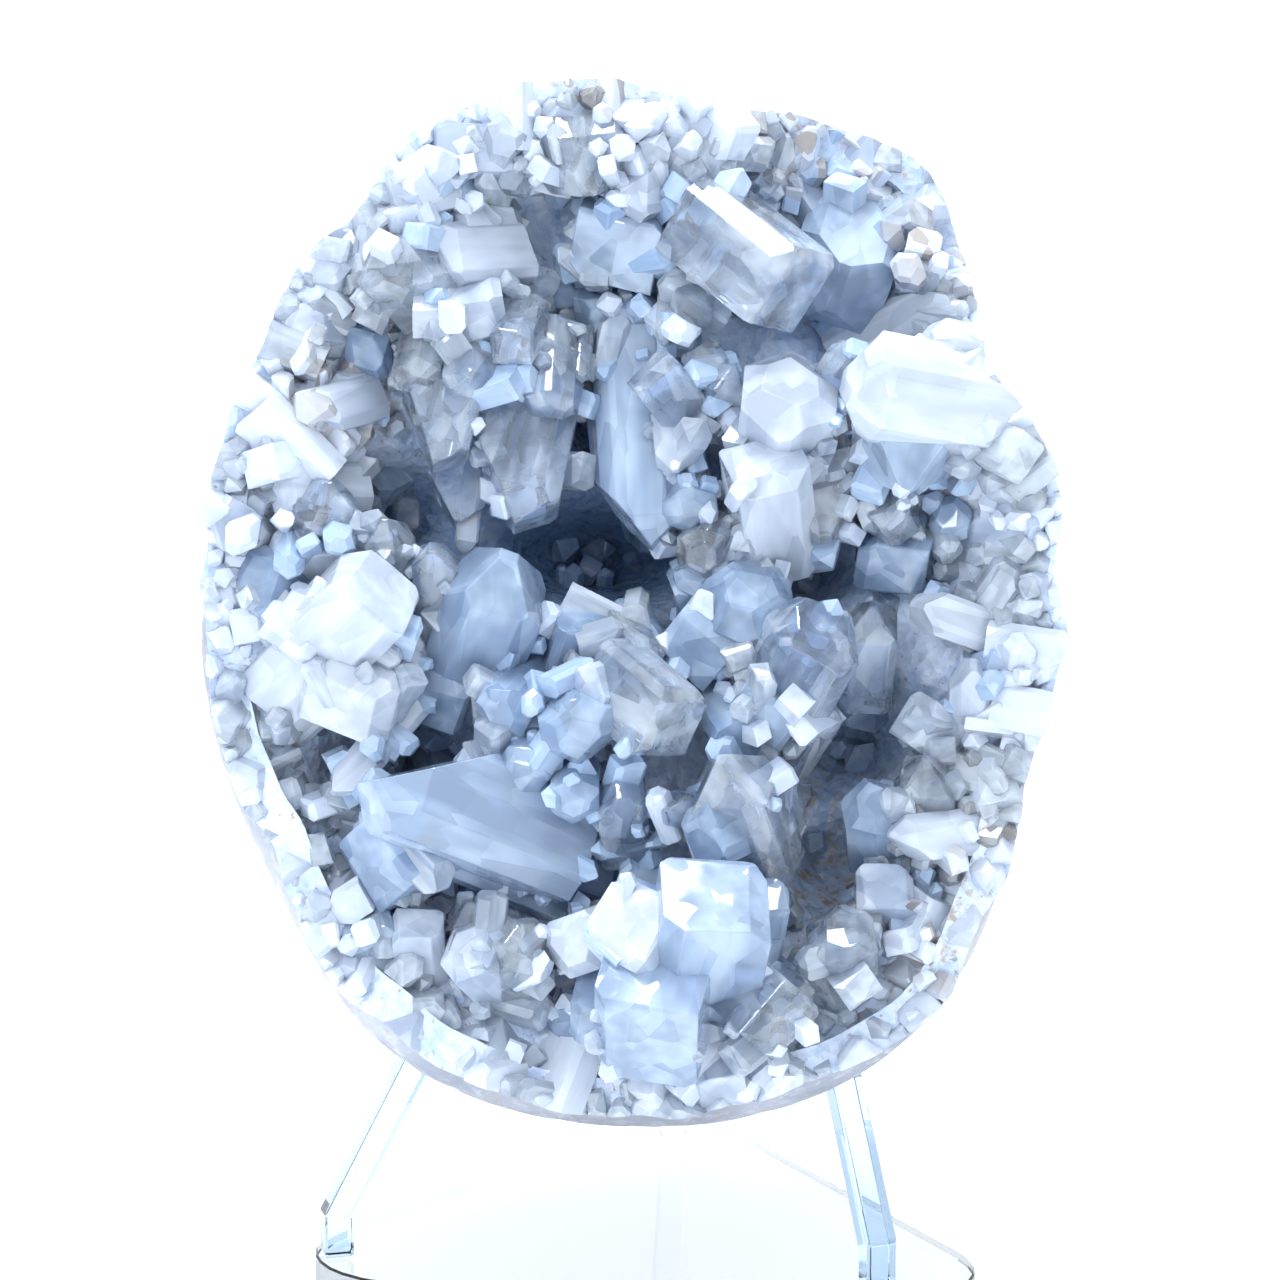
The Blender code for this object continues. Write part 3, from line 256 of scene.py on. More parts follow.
    "near_left": (-1.2, -11.5, -32, 130, 58, 17, 8, 7.6, 20, "block"),
    "near_low": (0.2, -12, -44.2, 252, 46, 20, 10.6, 10, 12, "block"),
    "near_right": (14.2, -9.5, -42.4, 318, 42, 16, 7, 6.6, 0, "block"),
    "near_oval": (-6.8, -7, -34.8, 200, 60, 12, 6, 7.2, 0, "hexagon"),
    "bottom_block": (8, -3, -49.6, 280, 42, 10, 5.2, 5, 0, "block"),
    "bottom_block_right": (13.4, -2.5, -48, 300, 42, 10, 4.8, 4.6, 20, "block"),
}
CRYSTAL_EDGE = 0.1 * MM  # worn edges of the larger crystals

# Which of them are clear or blue; the others are milky
CLEAR = {
    "top_hero", "hanging_clear", "hanging_clear_small", "cluster_left", "cluster_right", "notch_clear",
    "right_splinter", "right_sheet", "right_post", "right_sparkler", "pendant_main", "pendant_left",
    "pendant_behind", "pendant_small", "roof_round", "roof_bright", "roof_middle", "roof_left",
    "left_brow", "left_post", "striped_post", "left_hexagon", "left_low_clear", "white_facet",
    "triangle_facet", "triangle_splinter", "lower_right_bright", "lower_right_apex", "chevron",
    "mound_post", "low_point", "low_round_right", "bubbly_middle",
    "cave_sparkler", "near_right", "notch_square", "right_sheet_small", "top_point",
}
BLUE = {
    "top_grey_block", "shadow_block", "top_grey_side", "blue_pyramid", "gap_teal", "teal_block",
    "teal_foot", "near_hero", "near_low", "lavender_hero", "cave_lip_blade", "cave_lip_block",
    "hanging_blade", "notch_wedge", "right_dark_block", "round_mound", "pocket_sheet", "right_hanging",
    "cave_lip_square", "mound_left", "mound_low_left", "mound_milky", "mound_low", "bubbly_high",
    "bubbly_low", "triangle_foot", "right_sparkler_foot", "lower_right_round", "left_ledge_top",
}
# How pale some of them are, from 0 to 1; the others vary by chance
PALENESS = {
    "near_hero": 1.0, "near_low": 0.9, "notch_wedge": 1.0, "hanging_blade": 0.7, "lavender_hero": 1.0,
    "right_hero": 1.0, "right_hero_side": 0.9, "top_hero": 0.9, "left_wedge": 0.9, "left_brow": 0.8,
    "blue_pyramid": 0.6, "right_hanging": 0.9, "near_left": 1.0, "near_right": 0.8, "milky_hexagon": 0.7,
    "mound_milky": 0.5, "mound_left": 0.3, "mound_low": 0.3, "mound_low_left": 0.2, "round_mound": 0.3,
    "right_sparkler": 0.2, "chevron": 0.1, "triangle_facet": 0.6, "white_facet": 0.9, "shadow_block": 0.2,
}

# The crystals that fill in between, and a wreath of them round the rim, as in the solids
FILLER_SEED = 11
FILLER_COUNT = 34
FILLER_SPACING = 5.6 * MM
FILLER_CLEARANCE = 3.8 * MM  # from the crystals above
FILLER_REACH = 0.88  # of the outline's radius
FILLER_TRIES = 6000
FILLER_WIDTH = (3.6 * MM, 5.6 * MM)
FILLER_FORMS = ("block", "point", "hexagon", "blade")
FILLER_WANDER, RIM_WANDER, DRUSE_WANDER = 0.45, 0.4, 0.42  # how far crystals lean at random
RIM_LEAN = 0.5  # outwards, for those at the rim
RIM_SEED = 5
RIM_COUNT = 40
RIM_WIDTH = (4.2 * MM, 6.6 * MM)
RIM_SHARES = (0.93, 0.98)  # of the outline's radius

# Smaller crystals grown beside each of these, nearly parallel to it
COMPANIONS = (2, 3)
COMPANION_TURN = math.radians(7)
COMPANION_LENGTH = 0.6  # of the large crystal's length
COMPANION_SHARE = (0.3, 0.58)  # of its width and thickness
COMPANION_SIDE = 0.55  # how far to its sides they grow, in its widths
COMPANION_BACK = (0.22, 0.5)  # how far back from its tip they end, in its lengths
COMPANION_TONE = 0.2

# Small crystals that cover the crust, thickest where it is sheltered
DRUSE_SEED = 21
DRUSE_TRIES = 16000
DRUSE_WIDTH = (1.5 * MM, 3.8 * MM)
DRUSE_RIM_GROWTH = 1.3  # times as wide at the rim
DRUSE_SPACING = 0.36  # of two neighbours' widths together
DRUSE_RAYS, FRONT_RAYS = 14, 10  # looked along for neighbours and for the open side
DRUSE_AWAY = 0.55  # none grow where a face looks further back than this
DRUSE_OPEN, DRUSE_SHELTERED, DRUSE_AT_RIM = 0.015, 1.1, 0.8  # how readily a spot is taken
DRUSE_SHELTER = 0.3  # the share of blocked directions from which a spot is sheltered
DRUSE_RIM_FROM, DRUSE_RIM_EASE = 0.8, 0.12  # shares of the outline's radius over which the rim begins
FACE_CLEARANCE = 0.2 * MM
RIM_DRUSE_TRIES = 900
RIM_DRUSE_SHARES = (0.9, 0.995)  # of the way from the middle to the edge of the crust
DRUSE_TEMPLATES = 30
DRUSE_PATCH = 8 * MM  # neighbours of about this reach are alike
DRUSE_SHADE_DEPTH = 14 * MM  # this far into the hollow their painted shade is at its darkest and bluest
DRUSE_REACH = 7 * MM  # how near a neighbour shelters a spot
DRUSE_FORMS = ("block", "point", "hexagon", "blade", "point")
# Faces that stay clean of them, as x, z and half width and half height in mm
CLEAN = {
    "top_hero": (10.5, 33, 7, 6),
    "notch_wedge": (20, 33, 6, 8),
    "right_hero": (29, 20, 10, 6),
    "milky_hexagon": (14.9, 20, 5, 5),
    "left_brow": (-27, 29, 6, 5),
    "pendants": (-16, 13, 9, 9),
    "hanging_blade": (-1, 14, 4, 10),
    "blue_pyramid": (-14, 0, 5, 5),
    "left_wedge": (-29, -1, 5, 6),
    "right_sparkler": (15, -5, 5, 5),
    "lavender_hero": (-16, -22, 11, 6),
    "white_facet": (0, -11, 5, 5),
    "triangle_facet": (9, -20, 4, 4),
    "near": (6, -38, 9, 12),
    "lower_right_bright": (20, -34, 4, 4),
}

# Celestite: how far it lets light through and how rough it is, each as (clear, clouded); absorbed
# is the colour that is left after its density has taken up light
LOOKS = {
    "clear": {
        "body": (0.60, 0.73, 0.94, 1), "body_pale": (0.80, 0.88, 0.99, 1), "cloud": (0.82, 0.90, 1.0, 1),
        "cloud_scale": 300.0, "cloud_range": (0.50, 0.95), "transmission": (0.88, 0.50),
        "roughness": (0.02, 0.08), "step_tilt": 0.16, "stained": False,
        "absorbed": (0.56, 0.75, 0.95, 1), "density": 60.0,
    },
    "blue": {
        "body": (0.37, 0.54, 0.82, 1), "body_pale": (0.57, 0.73, 0.95, 1), "cloud": (0.63, 0.77, 0.97, 1),
        "cloud_scale": 240.0, "cloud_range": (0.48, 0.95), "transmission": (0.64, 0.32),
        "roughness": (0.03, 0.10), "step_tilt": 0.14, "stained": False,
        "absorbed": (0.42, 0.62, 0.95, 1), "density": 80.0,
    },
    "milky": {
        "body": (0.55, 0.67, 0.90, 1), "body_pale": (0.76, 0.84, 0.98, 1), "cloud": (0.80, 0.87, 0.99, 1),
        "cloud_scale": 260.0, "cloud_range": (0.46, 0.92), "transmission": (0.48, 0.20),
        "roughness": (0.04, 0.14), "step_tilt": 0.18, "stained": False,
        "absorbed": (0.60, 0.75, 0.95, 1), "density": 60.0,
    },
    "small_clear": {
        "body": (0.62, 0.74, 0.94, 1), "body_pale": (0.82, 0.90, 1.0, 1), "cloud": (0.82, 0.90, 1.0, 1),
        "cloud_scale": 420.0, "cloud_range": (0.50, 0.95), "transmission": (0.64, 0.32),
        "roughness": (0.02, 0.09), "step_tilt": 0.2, "stained": True, "density": 0.0,
    },
    "small_blue": {
        "body": (0.40, 0.56, 0.83, 1), "body_pale": (0.60, 0.75, 0.96, 1), "cloud": (0.63, 0.77, 0.97, 1),
        "cloud_scale": 420.0, "cloud_range": (0.48, 0.95), "transmission": (0.30, 0.16),
        "roughness": (0.03, 0.10), "step_tilt": 0.18, "stained": True, "density": 0.0,
    },
    "small_milky": {
        "body": (0.58, 0.69, 0.91, 1), "body_pale": (0.78, 0.86, 0.99, 1), "cloud": (0.80, 0.87, 0.99, 1),
        "cloud_scale": 420.0, "cloud_range": (0.46, 0.92), "transmission": (0.26, 0.12),
        "roughness": (0.04, 0.13), "step_tilt": 0.18, "stained": True, "density": 0.0,
    },
}
CELESTITE_IOR = 1.62
GROWTH_SQUEEZE = -0.67  # the textures are squeezed to a third along a crystal
STEP_SCALE = 420.0  # steps on the faces, to the metre
STEP_CONTRAST = 0.22
ETCHED = (0.45, 0.7)  # clouds between these values are ever rougher
MASS_BLUE, MASS_PALE = (0.48, 0.61, 0.84, 1), (0.72, 0.80, 0.96, 1)
# painted shade: the mass turns darker slate blue deep in the caves, where shade falls
CAVE_PAINTED_SHADE = (0.16, 0.27, 0.46, 1)
CAVE_SHADE_FROM, CAVE_SHADE_TO = 4 * MM, 22 * MM  # behind the opening, painted shade from pale to slate blue, deepening into the caves

# Iron stains, as a place in mm in the geode's frame and a reach in mm
STAINS = (
    ((-28.5, 1, 21), 10),
    ((-4, 0, 52), 8),
    ((20, 6, 47), 12),
    ((31, 4, 38), 12),
    ((20, 9, -27), 14),
    ((34, 2, -24), 12),
    ((30, 0, -34), 10),
    ((-31, 0, -9), 7),
)
STAIN_BROWN = (0.40, 0.34, 0.29, 1)
STAINED_STEPS = (0.4, 0.75, 0.0, 0.8)  # how far the stain shows on a step, from its random tint

# The ground outside
RIND_PALE, RIND_GREY = (0.40, 0.42, 0.50, 1), (0.28, 0.30, 0.37, 1)
RIND_SPECK, RIND_TAN = (0.52, 0.54, 0.62, 1), (0.38, 0.34, 0.31, 1)

# Acrylic: the front bars are the same acrylic given a bluer tint and denser absorption, painted shade for
# the bluish shade they show; the rest is clearer
ACRYLIC_IOR = 1.49
ACRYLIC_ABSORBED = (0.50, 0.76, 0.96, 1)
PLATE_COLOUR, PLATE_DENSITY = (0.98, 0.99, 1.0, 1), 4.0
BAR_SHADE_TINT, BAR_DENSITY = (0.68, 0.82, 0.97, 1), 90.0
SAWN_ROUGHNESS = 0.9  # of the plate's upright faces

# Light: a light tent of daylight with two soft lamps, as place and target in metres, size and watts
DAYLIGHT = (0.90, 0.95, 1.0)
LAMPS = {
    "overhead softbox": ((-0.08, 0.02, 0.55), (0, -0.02, 0.08), 0.26, 2.5),
    "front fill": ((-0.25, -0.5, 0.35), (0, -0.02, 0.07), 0.2, 1.0),
}
TENT_OVERHEAD = (0.2, 0.9, 0.0, 0.6)  # heights from and to, strengths from and to
TENT_BEHIND = (-0.2, 0.6, 0.70, 1.0)  # the same from the viewer's side to the far side
FLOOR_SIZE = 12
FLOOR_COLOUR, FLOOR_GLOW = (0.72, 0.73, 0.74, 1), (0.92, 0.97, 1.0, 1)
EXPOSURE = 0.22

# Camera
CAMERA_DISTANCE = 0.42
CAMERA_ELEVATION = math.radians(10)
SENSOR = 36.0
PHOTO_SIZE = 1280
PHOTO_CENTRE_V = 596  # the picture row of the geode frame's origin
VIEW_WIDTH = 0.128  # what the frame shows of the geode's plane


def clamp(value, low, high):
    return min(max(value, low), high)


def smoothstep(value):
    value = clamp(value, 0.0, 1.0)
    return value * value * (3 - 2 * value)


def mesh_object(name, bm, made, place=GEODE):
    """A piece with its place in its mesh."""
    mesh = bpy.data.meshes.new(name)
    bm.transform(place)
    bm.normal_update()
    bm.to_mesh(mesh)
    bm.free()
    mesh.materials.append(made)
    obj = bpy.data.objects.new(name, mesh)
    bpy.context.scene.collection.objects.link(obj)
    return obj


def loft(rings, first_pole=None, last_pole=None):
    """A skin through rings of equally many points, each closed by a fan to its pole where given."""
    bm = bmesh.new()
    rows = [[bm.verts.new(point) for point in ring] for ring in rings]
    for row, after in zip(rows, rows[1:]):
        for i in range(len(row)):
            j = (i + 1) % len(row)
            bm.faces.new((row[i], row[j], after[j]))
            bm.faces.new((row[i], after[j], after[i]))
    for pole, row in ((first_pole, rows[0]), (last_pole, rows[-1])):
        if pole is None:
            continue
        tip = bm.verts.new(pole)
        for i in range(len(row)):
            bm.faces.new((tip, row[i], row[(i + 1) % len(row)]))
    bmesh.ops.recalc_face_normals(bm, faces=bm.faces)
    return bm


# The ground outside

def outline_radius(angle):
    """From the middle to the ground outside, seen from the front."""
    fullness = TOP_FULLNESS if math.sin(angle) > 0 else BOTTOM_FULLNESS
    across = abs(math.cos(angle) / HALF_WIDTH) ** fullness
    up = abs(math.sin(angle) / HALF_HEIGHT) ** fullness
    radius = (across + up) ** (-1 / fullness)
    for heading, half_width, bulge in OUTLINE_BULGES.values():
        away = (math.degrees(angle) - heading + 180) % 360 - 180
        radius += bulge * MM * math.exp(-((away / half_width) ** 2))
    return radius


def rim_depth(angle):
    """How far behind the plane of the opening the rim lies."""
    degrees = math.degrees(angle) % 360
    notch = smoothstep((degrees - NOTCH_FROM) / NOTCH_EASE)
    notch *= smoothstep((NOTCH_TO - degrees) / NOTCH_EASE)
    wave = noise.noise(Vector((math.cos(angle), math.sin(angle), 0)) * RIM_WAVES)
    chips = noise.noise(Vector((math.cos(angle), math.sin(angle), 5)) * RIM_CHIPS)
    return NOTCH_DEPTH * notch + RIM_WAVE * (2 * wave + chips)


def wall_point(angle, share, inset):
    """A point on the ground outside, or on a wall inset within it: share 0 is the rim, 1 the back."""
    swing = WIDEST_SWING * (1 - smoothstep((share - SWING_ENDS) / (1 - SWING_ENDS)))
    widest = WIDEST + swing * math.cos(angle - math.radians(WIDEST_HEADING))
    rim = rim_depth(angle)
    if rim < widest:
        first = -math.asin((widest - rim) / FRONT_DEPTH)
    else:
        first = math.asin((rim - widest) / BACK_DEPTH)
    turn = first + (math.pi / 2 - first) * share
    reach = BACK_DEPTH - inset if turn > 0 else FRONT_DEPTH
    around = math.cos(turn) ** (BACK_FULLNESS if turn > 0 else 1)
    lump = GRINDING_LUMP * noise.noise(Vector((math.cos(angle), 2 * share, math.sin(angle))) * 2)
    radius = (outline_radius(angle) - inset + lump) * around
    return Vector((radius * math.cos(angle), widest + reach * math.sin(turn), radius * math.sin(angle)))


def wall_angles():
    return [2 * math.pi * i / WALL_SEGMENTS for i in range(WALL_SEGMENTS)]


def wall_rings(inset, ring_count=INNER_RINGS):
    shares = [ring / ring_count for ring in range(ring_count)]
    return [[wall_point(angle, share, inset) for angle in wall_angles()] for share in shares]


def back_pole(inset):
    return Vector((0, WIDEST + BACK_DEPTH - inset, 0))


def pitted(point):
    """A point of the ground outside, worn in by shallow pits and scrapes."""
    broad = max(noise.noise(point / PIT_WIDTH), 0)
    fine = max(noise.noise(point / SCRAPE_WIDTH) - 0.1, 0)
    depth = PIT_DEPTH * (0.5 * broad + 1.2 * fine)
    inward = Vector((-point.x, WIDEST - point.y, -point.z)).normalized()
    return point + inward * depth


def build_rind(made):
    outside = [[pitted(point) for point in ring] for ring in wall_rings(0, WALL_RINGS)]
    inside = wall_rings(RIND_THICKNESS)
    bm = loft(outside[::-1] + inside, back_pole(PIT_DEPTH / 2), back_pole(RIND_THICKNESS))
    rind = mesh_object("ground_rind", bm, made)
    rind.data.shade_smooth()
    rind.data.set_sharp_from_angle(angle=RIND_EDGE)
    return rind


# The hollow and its crust

def shape_share(x, z):
    """0 in the middle of the opening, 1 at its outline."""
    return math.hypot(x, z) / outline_radius(math.atan2(z, x))


def floor_depth(x, z):
    """How far behind the opening the floor between the crystals lies."""
    share = min(shape_share(x, z), 1.0)
    at_rim = rim_depth(math.atan2(z, x)) - COVER
    depth = HOLLOW_DEPTH * (1 - share**3) + at_rim * share**3
    for near_x, near_z, half_width, half_height, bump in RELIEF.values():
        away = ((x / MM - near_x) / half_width) ** 2 + ((z / MM - near_z) / half_height) ** 2
        depth += bump * MM * math.exp(-away)
    return depth


def over_rim_point(angle):
    """Where the crust ends in front of the rim."""
    outward = Vector((math.cos(angle), 0, math.sin(angle)))
    wave = noise.noise(outward * OVERHANG_WAVES)
    return wall_point(angle, 0, 0) + outward * (OVERHANG + OVERHANG_WAVE * wave) + BEFORE_RIM


def crust_back_rings():
    """The skin of the crust from its edge over the rim to the back of the rind's bowl."""
    within = wall_rings(RIND_THICKNESS + GAP)
    over_rim = [over_rim_point(angle) for angle in wall_angles()]
    inner_edge = [point + BEFORE_RIM for point in within[0]]
    return [over_rim, inner_edge, *within]


def build_crust_limit():
    """What the crystals may fill: the rind's hollow and a little over the rim in front of it."""
    back_rings = crust_back_rings()
    far = [Vector((point.x, -HALF_WIDTH, point.z)) for point in back_rings[0]]
    rings = [far, *back_rings]
    bm = loft(rings, Vector((0, -HALF_WIDTH, 0)), back_pole(RIND_THICKNESS + GAP))
    limit = mesh_object("crust_limit", bm, None)
    limit.hide_render = True
    return limit


def floor_point(angle, share):
    """A point of the lumpy floor; share 1 is where the crust ends in front of the rim."""
    edge = over_rim_point(angle)
    x, z = edge.x * share, edge.z * share
    here = Vector((x, 0, z))
    cells = noise.voronoi(here / FLOOR_CELL)[0][0]
    lump = FLOOR_LUMP * (1.3 * cells - 0.6 + noise.noise(here / FLOOR_GRAIN) * 0.35)
    fade = smoothstep((1 - share) / FLOOR_EDGE)
    return Vector((x, floor_depth(x, z) + lump * fade, z))


def build_mass(made):
    """Massive celestite: the floor that the crystals stand on, with the rind's bowl filled behind it."""
    floor = [
        [floor_point(angle, ring / FLOOR_RINGS) for angle in wall_angles()]
        for ring in range(1, FLOOR_RINGS + 1)
    ]
    rings = floor + crust_back_rings()
    bm = loft(rings, floor_point(0, 0), back_pole(RIND_THICKNESS + GAP))
    return mesh_object("celestite_mass", bm, made)


# Crystals

def cut(bm, point, normal):
    """Takes off what lies beyond a plane and closes the hole with one flat face."""
    found = bmesh.ops.bisect_plane(
        bm, geom=bm.verts[:] + bm.edges[:] + bm.faces[:], dist=1e-8,
        plane_co=point, plane_no=normal, clear_outer=True,
    )
    edges = [item for item in found["geom_cut"] if isinstance(item, bmesh.types.BMEdge)]
    if len(edges) > 2:
        bmesh.ops.contextual_create(bm, geom=edges)


def direction_at(degrees):
    """A direction across a crystal."""
    turn = math.radians(degrees)
    return Vector((math.cos(turn), math.sin(turn), 0))


def sloped(out, degrees):
    """The normal of a face that slopes down from the tip towards a direction across the crystal."""
    slope = math.radians(degrees)
    return out * math.sin(slope) + Vector((0, 0, math.cos(slope)))


def end_planes(form, width, thickness, rng):
    """The faces that end a crystal, as (point, normal), for a tip at z = 0."""
    half_w, half_t = width / 2, thickness / 2
    shift = rng.uniform(-0.12, 0.12) * width
    planes = []
    if form == "point":
        for angle, half in ((0, half_w), (90, half_t), (180, half_w), (270, half_t)):
            slope = rng.uniform(46, 58)
            flat = half * rng.uniform(0.04, 0.22)
            out = direction_at(angle + rng.uniform(-7, 7))
            planes.append((out * flat + Vector((shift, 0, 0)), sloped(out, slope)))
    elif form == "chisel":
        for side, low, high in ((-1, 34, 40), (1, 54, 60)):
            out = Vector((side, 0, 0))
            planes.append((Vector((-0.12 * width, 0, 0)), sloped(out, rng.uniform(low, high))))
        for side in (-1, 1):
            out = Vector((0, side, 0))
            planes.append((out * half_t * 0.35, sloped(out, rng.uniform(50, 60))))
    elif form == "blade":
        for side in (-1, 1):
            point = Vector((shift + side * 0.06 * width, 0, 0))
            planes.append((point, sloped(Vector((side, 0, 0)), rng.uniform(40, 58))))
        planes.append((Vector((0, half_t * 0.3, 0)), sloped(Vector((0, 1, 0)), rng.uniform(30, 45))))
    elif form == "hexagon":
        for angle in range(0, 360, 60):
            slope = rng.uniform(38, 56)
            turn = math.radians(angle + rng.uniform(-10, 10))
            out = Vector((math.cos(turn), math.sin(turn) * thickness / width, 0))
            planes.append((out * half_w * rng.uniform(0.42, 0.66), sloped(out.normalized(), slope)))
    else:
        slope = rng.uniform(2, 9)
        planes.append((Vector((0, 0, -0.02 * width)), sloped(direction_at(rng.uniform(0, 360)), slope)))
        for angle in (0, 90, 180, 270):
            if rng.random() < 0.25:
                continue
            slope = rng.uniform(38, 56)
            out = direction_at(angle + rng.uniform(-9, 9))
            half = half_w if angle in (0, 180) else half_t
            planes.append((out * half * rng.uniform(0.55, 0.86), sloped(out, slope)))
    return planes


def side_planes(form, width, thickness, rng):
    """The prism faces that take off the corners of the box a crystal starts from."""
    half_w, half_t = width / 2, thickness / 2
    planes = []
    if form == "hexagon":
        for angle in (60, 120, 240, 300):
            out = direction_at(angle + rng.uniform(-5, 5))
            planes.append((out * half_t * rng.uniform(0.9, 1.0), out))
        return planes
    for angle in (50, 130, 230, 310):
        if form == "block" and rng.random() < 0.4:
            continue
        out = direction_at(angle + rng.uniform(-6, 6))
        corner = abs(out.x) * half_w + abs(out.y) * half_t
        planes.append((out * corner * rng.uniform(0.74, 0.9), out))
    return planes


def crystal_mesh(length, width, thickness, form, rng, edge=0.0):
    """One crystal with its tip at the origin, pointing along +Z: a box cut by its crystal faces."""
    bm = bmesh.new()
    bmesh.ops.create_cube(bm, size=1)
    bmesh.ops.scale(bm, vec=(width, thickness, length), verts=bm.verts)
    bmesh.ops.translate(bm, vec=(0, 0, -length / 2), verts=bm.verts)
    faces = side_planes(form, width, thickness, rng)
    faces += end_planes(form, width, thickness, rng)
    for point, normal in faces:
        cut(bm, point, normal)
    if edge:
        bmesh.ops.bevel(bm, geom=bm.edges, offset=edge, segments=1, affect="EDGES", clamp_overlap=True)
    bmesh.ops.recalc_face_normals(bm, faces=bm.faces)
    mesh = bpy.data.meshes.new("crystal")
    bm.to_mesh(mesh)
    bm.free()
    return mesh


def crystal_axes(heading, lean, roll):
    """Width, thickness and length directions for a heading in the picture plane and a lean out of it."""
    flat = math.cos(lean)
    axis = Vector((math.cos(heading) * flat, -math.sin(lean), math.sin(heading) * flat))
    across = Vector((math.sin(heading), 0, -math.cos(heading)))
    turned = Matrix.Rotation(roll, 3, axis)
    across = turned @ across
    return across, axis.cross(across), axis


def add_crystal(mesh, tip, axes, tone_and_shade, collection, scale=1.0):
    """Puts a crystal in place and keeps its long axis and its tone on its faces; on the small crystals that
    tone also carries painted shade.
    """
    turn = Matrix(axes).transposed().to_4x4()
    mesh.transform(GEODE @ Matrix.Translation(tip) @ turn @ Matrix.Scale(scale, 4))
    count = len(mesh.polygons)
    axis = list(GEODE.to_3x3() @ axes[2])
    mesh.attributes.new("axis", "FLOAT_VECTOR", "FACE").data.foreach_set("vector", axis * count)
    mesh.attributes.new("tone_and_shade", "FLOAT", "FACE").data.foreach_set("value", [tone_and_shade] * count)
    collection.objects.link(bpy.data.objects.new("crystal", mesh))


def wander(rng):
    """A random vector to lead a direction astray with."""
    return Vector([rng.uniform(-1, 1) for _ in range(3)])


def wobble(rng, turn):
    """A small random rotation."""
    axis = wander(rng).normalized()
    return Matrix.Rotation(rng.uniform(-turn, turn), 3, axis)


def spun_axes(axis, rng):
    """Width, thickness and length directions of a crystal turned at random about its long axis."""
    across = Matrix.Rotation(rng.uniform(0, 2 * math.pi), 3, axis) @ axis.orthogonal().normalized()
    return across, axis.cross(across), axis


def add_companions(name, tip, axes, size, form, tone_and_shade, collection):
    rng = random.Random(name + " companions")
    across, third, axis = axes
    length, width, thickness = size
    for _ in range(rng.randint(*COMPANIONS)):
        share = rng.uniform(*COMPANION_SHARE)
        beside = across * width * rng.uniform(-COMPANION_SIDE, COMPANION_SIDE)
        beside += third * thickness * rng.uniform(-COMPANION_SIDE, COMPANION_SIDE)
        beside.y = abs(beside.y)
        back = axis * length * rng.uniform(*COMPANION_BACK)
        turned = wobble(rng, COMPANION_TURN)
        size = (length * COMPANION_LENGTH, width * share, thickness * share)
        small = crystal_mesh(*size, form, rng, CRYSTAL_EDGE / 2)
        small_axes = tuple(turned @ direction for direction in axes)
        small_tone = tone_and_shade + rng.uniform(-COMPANION_TONE, COMPANION_TONE)
        add_crystal(small, tip + beside - back, small_axes, small_tone, collection)


def build_named_crystals(groups):
    for name, row in CRYSTALS.items():
        x, y, z, heading, lean, length, width, thickness, roll, form = row
        group = "clear" if name in CLEAR else "blue" if name in BLUE else "milky"
        axes = crystal_axes(math.radians(heading), math.radians(lean), math.radians(roll))
        size = (length * MM, width * MM, thickness * MM)
        tip = Vector((x, y, z)) * MM
        rng = random.Random(name)
        mesh = crystal_mesh(*size, form, rng, CRYSTAL_EDGE)
        tone_and_shade = PALENESS.get(name, rng.random())
        add_crystal(mesh, tip, axes, tone_and_shade, groups[group])
        add_companions(name, tip, axes, size, form, tone_and_shade, groups[group])


def floor_normal(x, z):
    """Out of the floor, towards the viewer."""
    step = 0.5 * MM
    slope_x = (floor_depth(x + step, z) - floor_depth(x - step, z)) / (2 * step)
    slope_z = (floor_depth(x, z + step) - floor_depth(x, z - step)) / (2 * step)
    return Vector((slope_x, -1, slope_z)).normalized()


def filler_spots(rng):
    """Places on the floor that no named crystal takes, spaced apart."""
    taken = [Vector((row[0], row[2])) * MM for row in CRYSTALS.values()]
    spots = []
    for _ in range(FILLER_TRIES):
        x, z = rng.uniform(-HALF_WIDTH, HALF_WIDTH), rng.uniform(-HALF_HEIGHT, HALF_HEIGHT)
        here = Vector((x, z))
        crowded = any((here - spot).length < FILLER_SPACING for spot in spots)
        covered = any((here - spot).length < FILLER_CLEARANCE for spot in taken)
        if shape_share(x, z) > FILLER_REACH or crowded or covered:
            continue
        spots.append(here)
        if len(spots) == FILLER_COUNT:
            break
    return spots


def squat_crystal(width, rng):
    size = (2.0 * width, width, width * rng.uniform(0.7, 1.0))
    return crystal_mesh(*size, rng.choice(FILLER_FORMS), rng, CRYSTAL_EDGE)


def build_fillers(groups):
    rng = random.Random(FILLER_SEED)
    for number, spot in enumerate(filler_spots(rng)):
        x, z = spot
        width = rng.uniform(*FILLER_WIDTH)
        axes = spun_axes((floor_normal(x, z) + FILLER_WANDER * wander(rng)).normalized(), rng)
        tip = Vector((x, floor_depth(x, z), z)) + axes[2] * width * rng.uniform(0.5, 0.8)
        add_crystal(squat_crystal(width, rng), tip, axes, number / FILLER_COUNT, groups["blue"])


def build_rim_crystals(groups):
    """A wreath of crystals that lean out over the rim."""
    rng = random.Random(RIM_SEED)
    for number in range(RIM_COUNT):
        angle = 2 * math.pi * (number + rng.uniform(-0.3, 0.3)) / RIM_COUNT
        share = rng.uniform(*RIM_SHARES)
        radius = outline_radius(angle) * share
        x, z = radius * math.cos(angle), radius * math.sin(angle)
        outward = Vector((math.cos(angle), 0, math.sin(angle)))
        axis = TO_VIEWER + RIM_LEAN * outward + RIM_WANDER * wander(rng)
        axes = spun_axes(axis.normalized(), rng)
        width = rng.uniform(*RIM_WIDTH)
        tip = Vector((x, rim_depth(angle), z)) + axes[2] * width * rng.uniform(0.3, 0.6)
        add_crystal(squat_crystal(width, rng), tip, axes, number / RIM_COUNT, groups["milky"])


# The small crystals

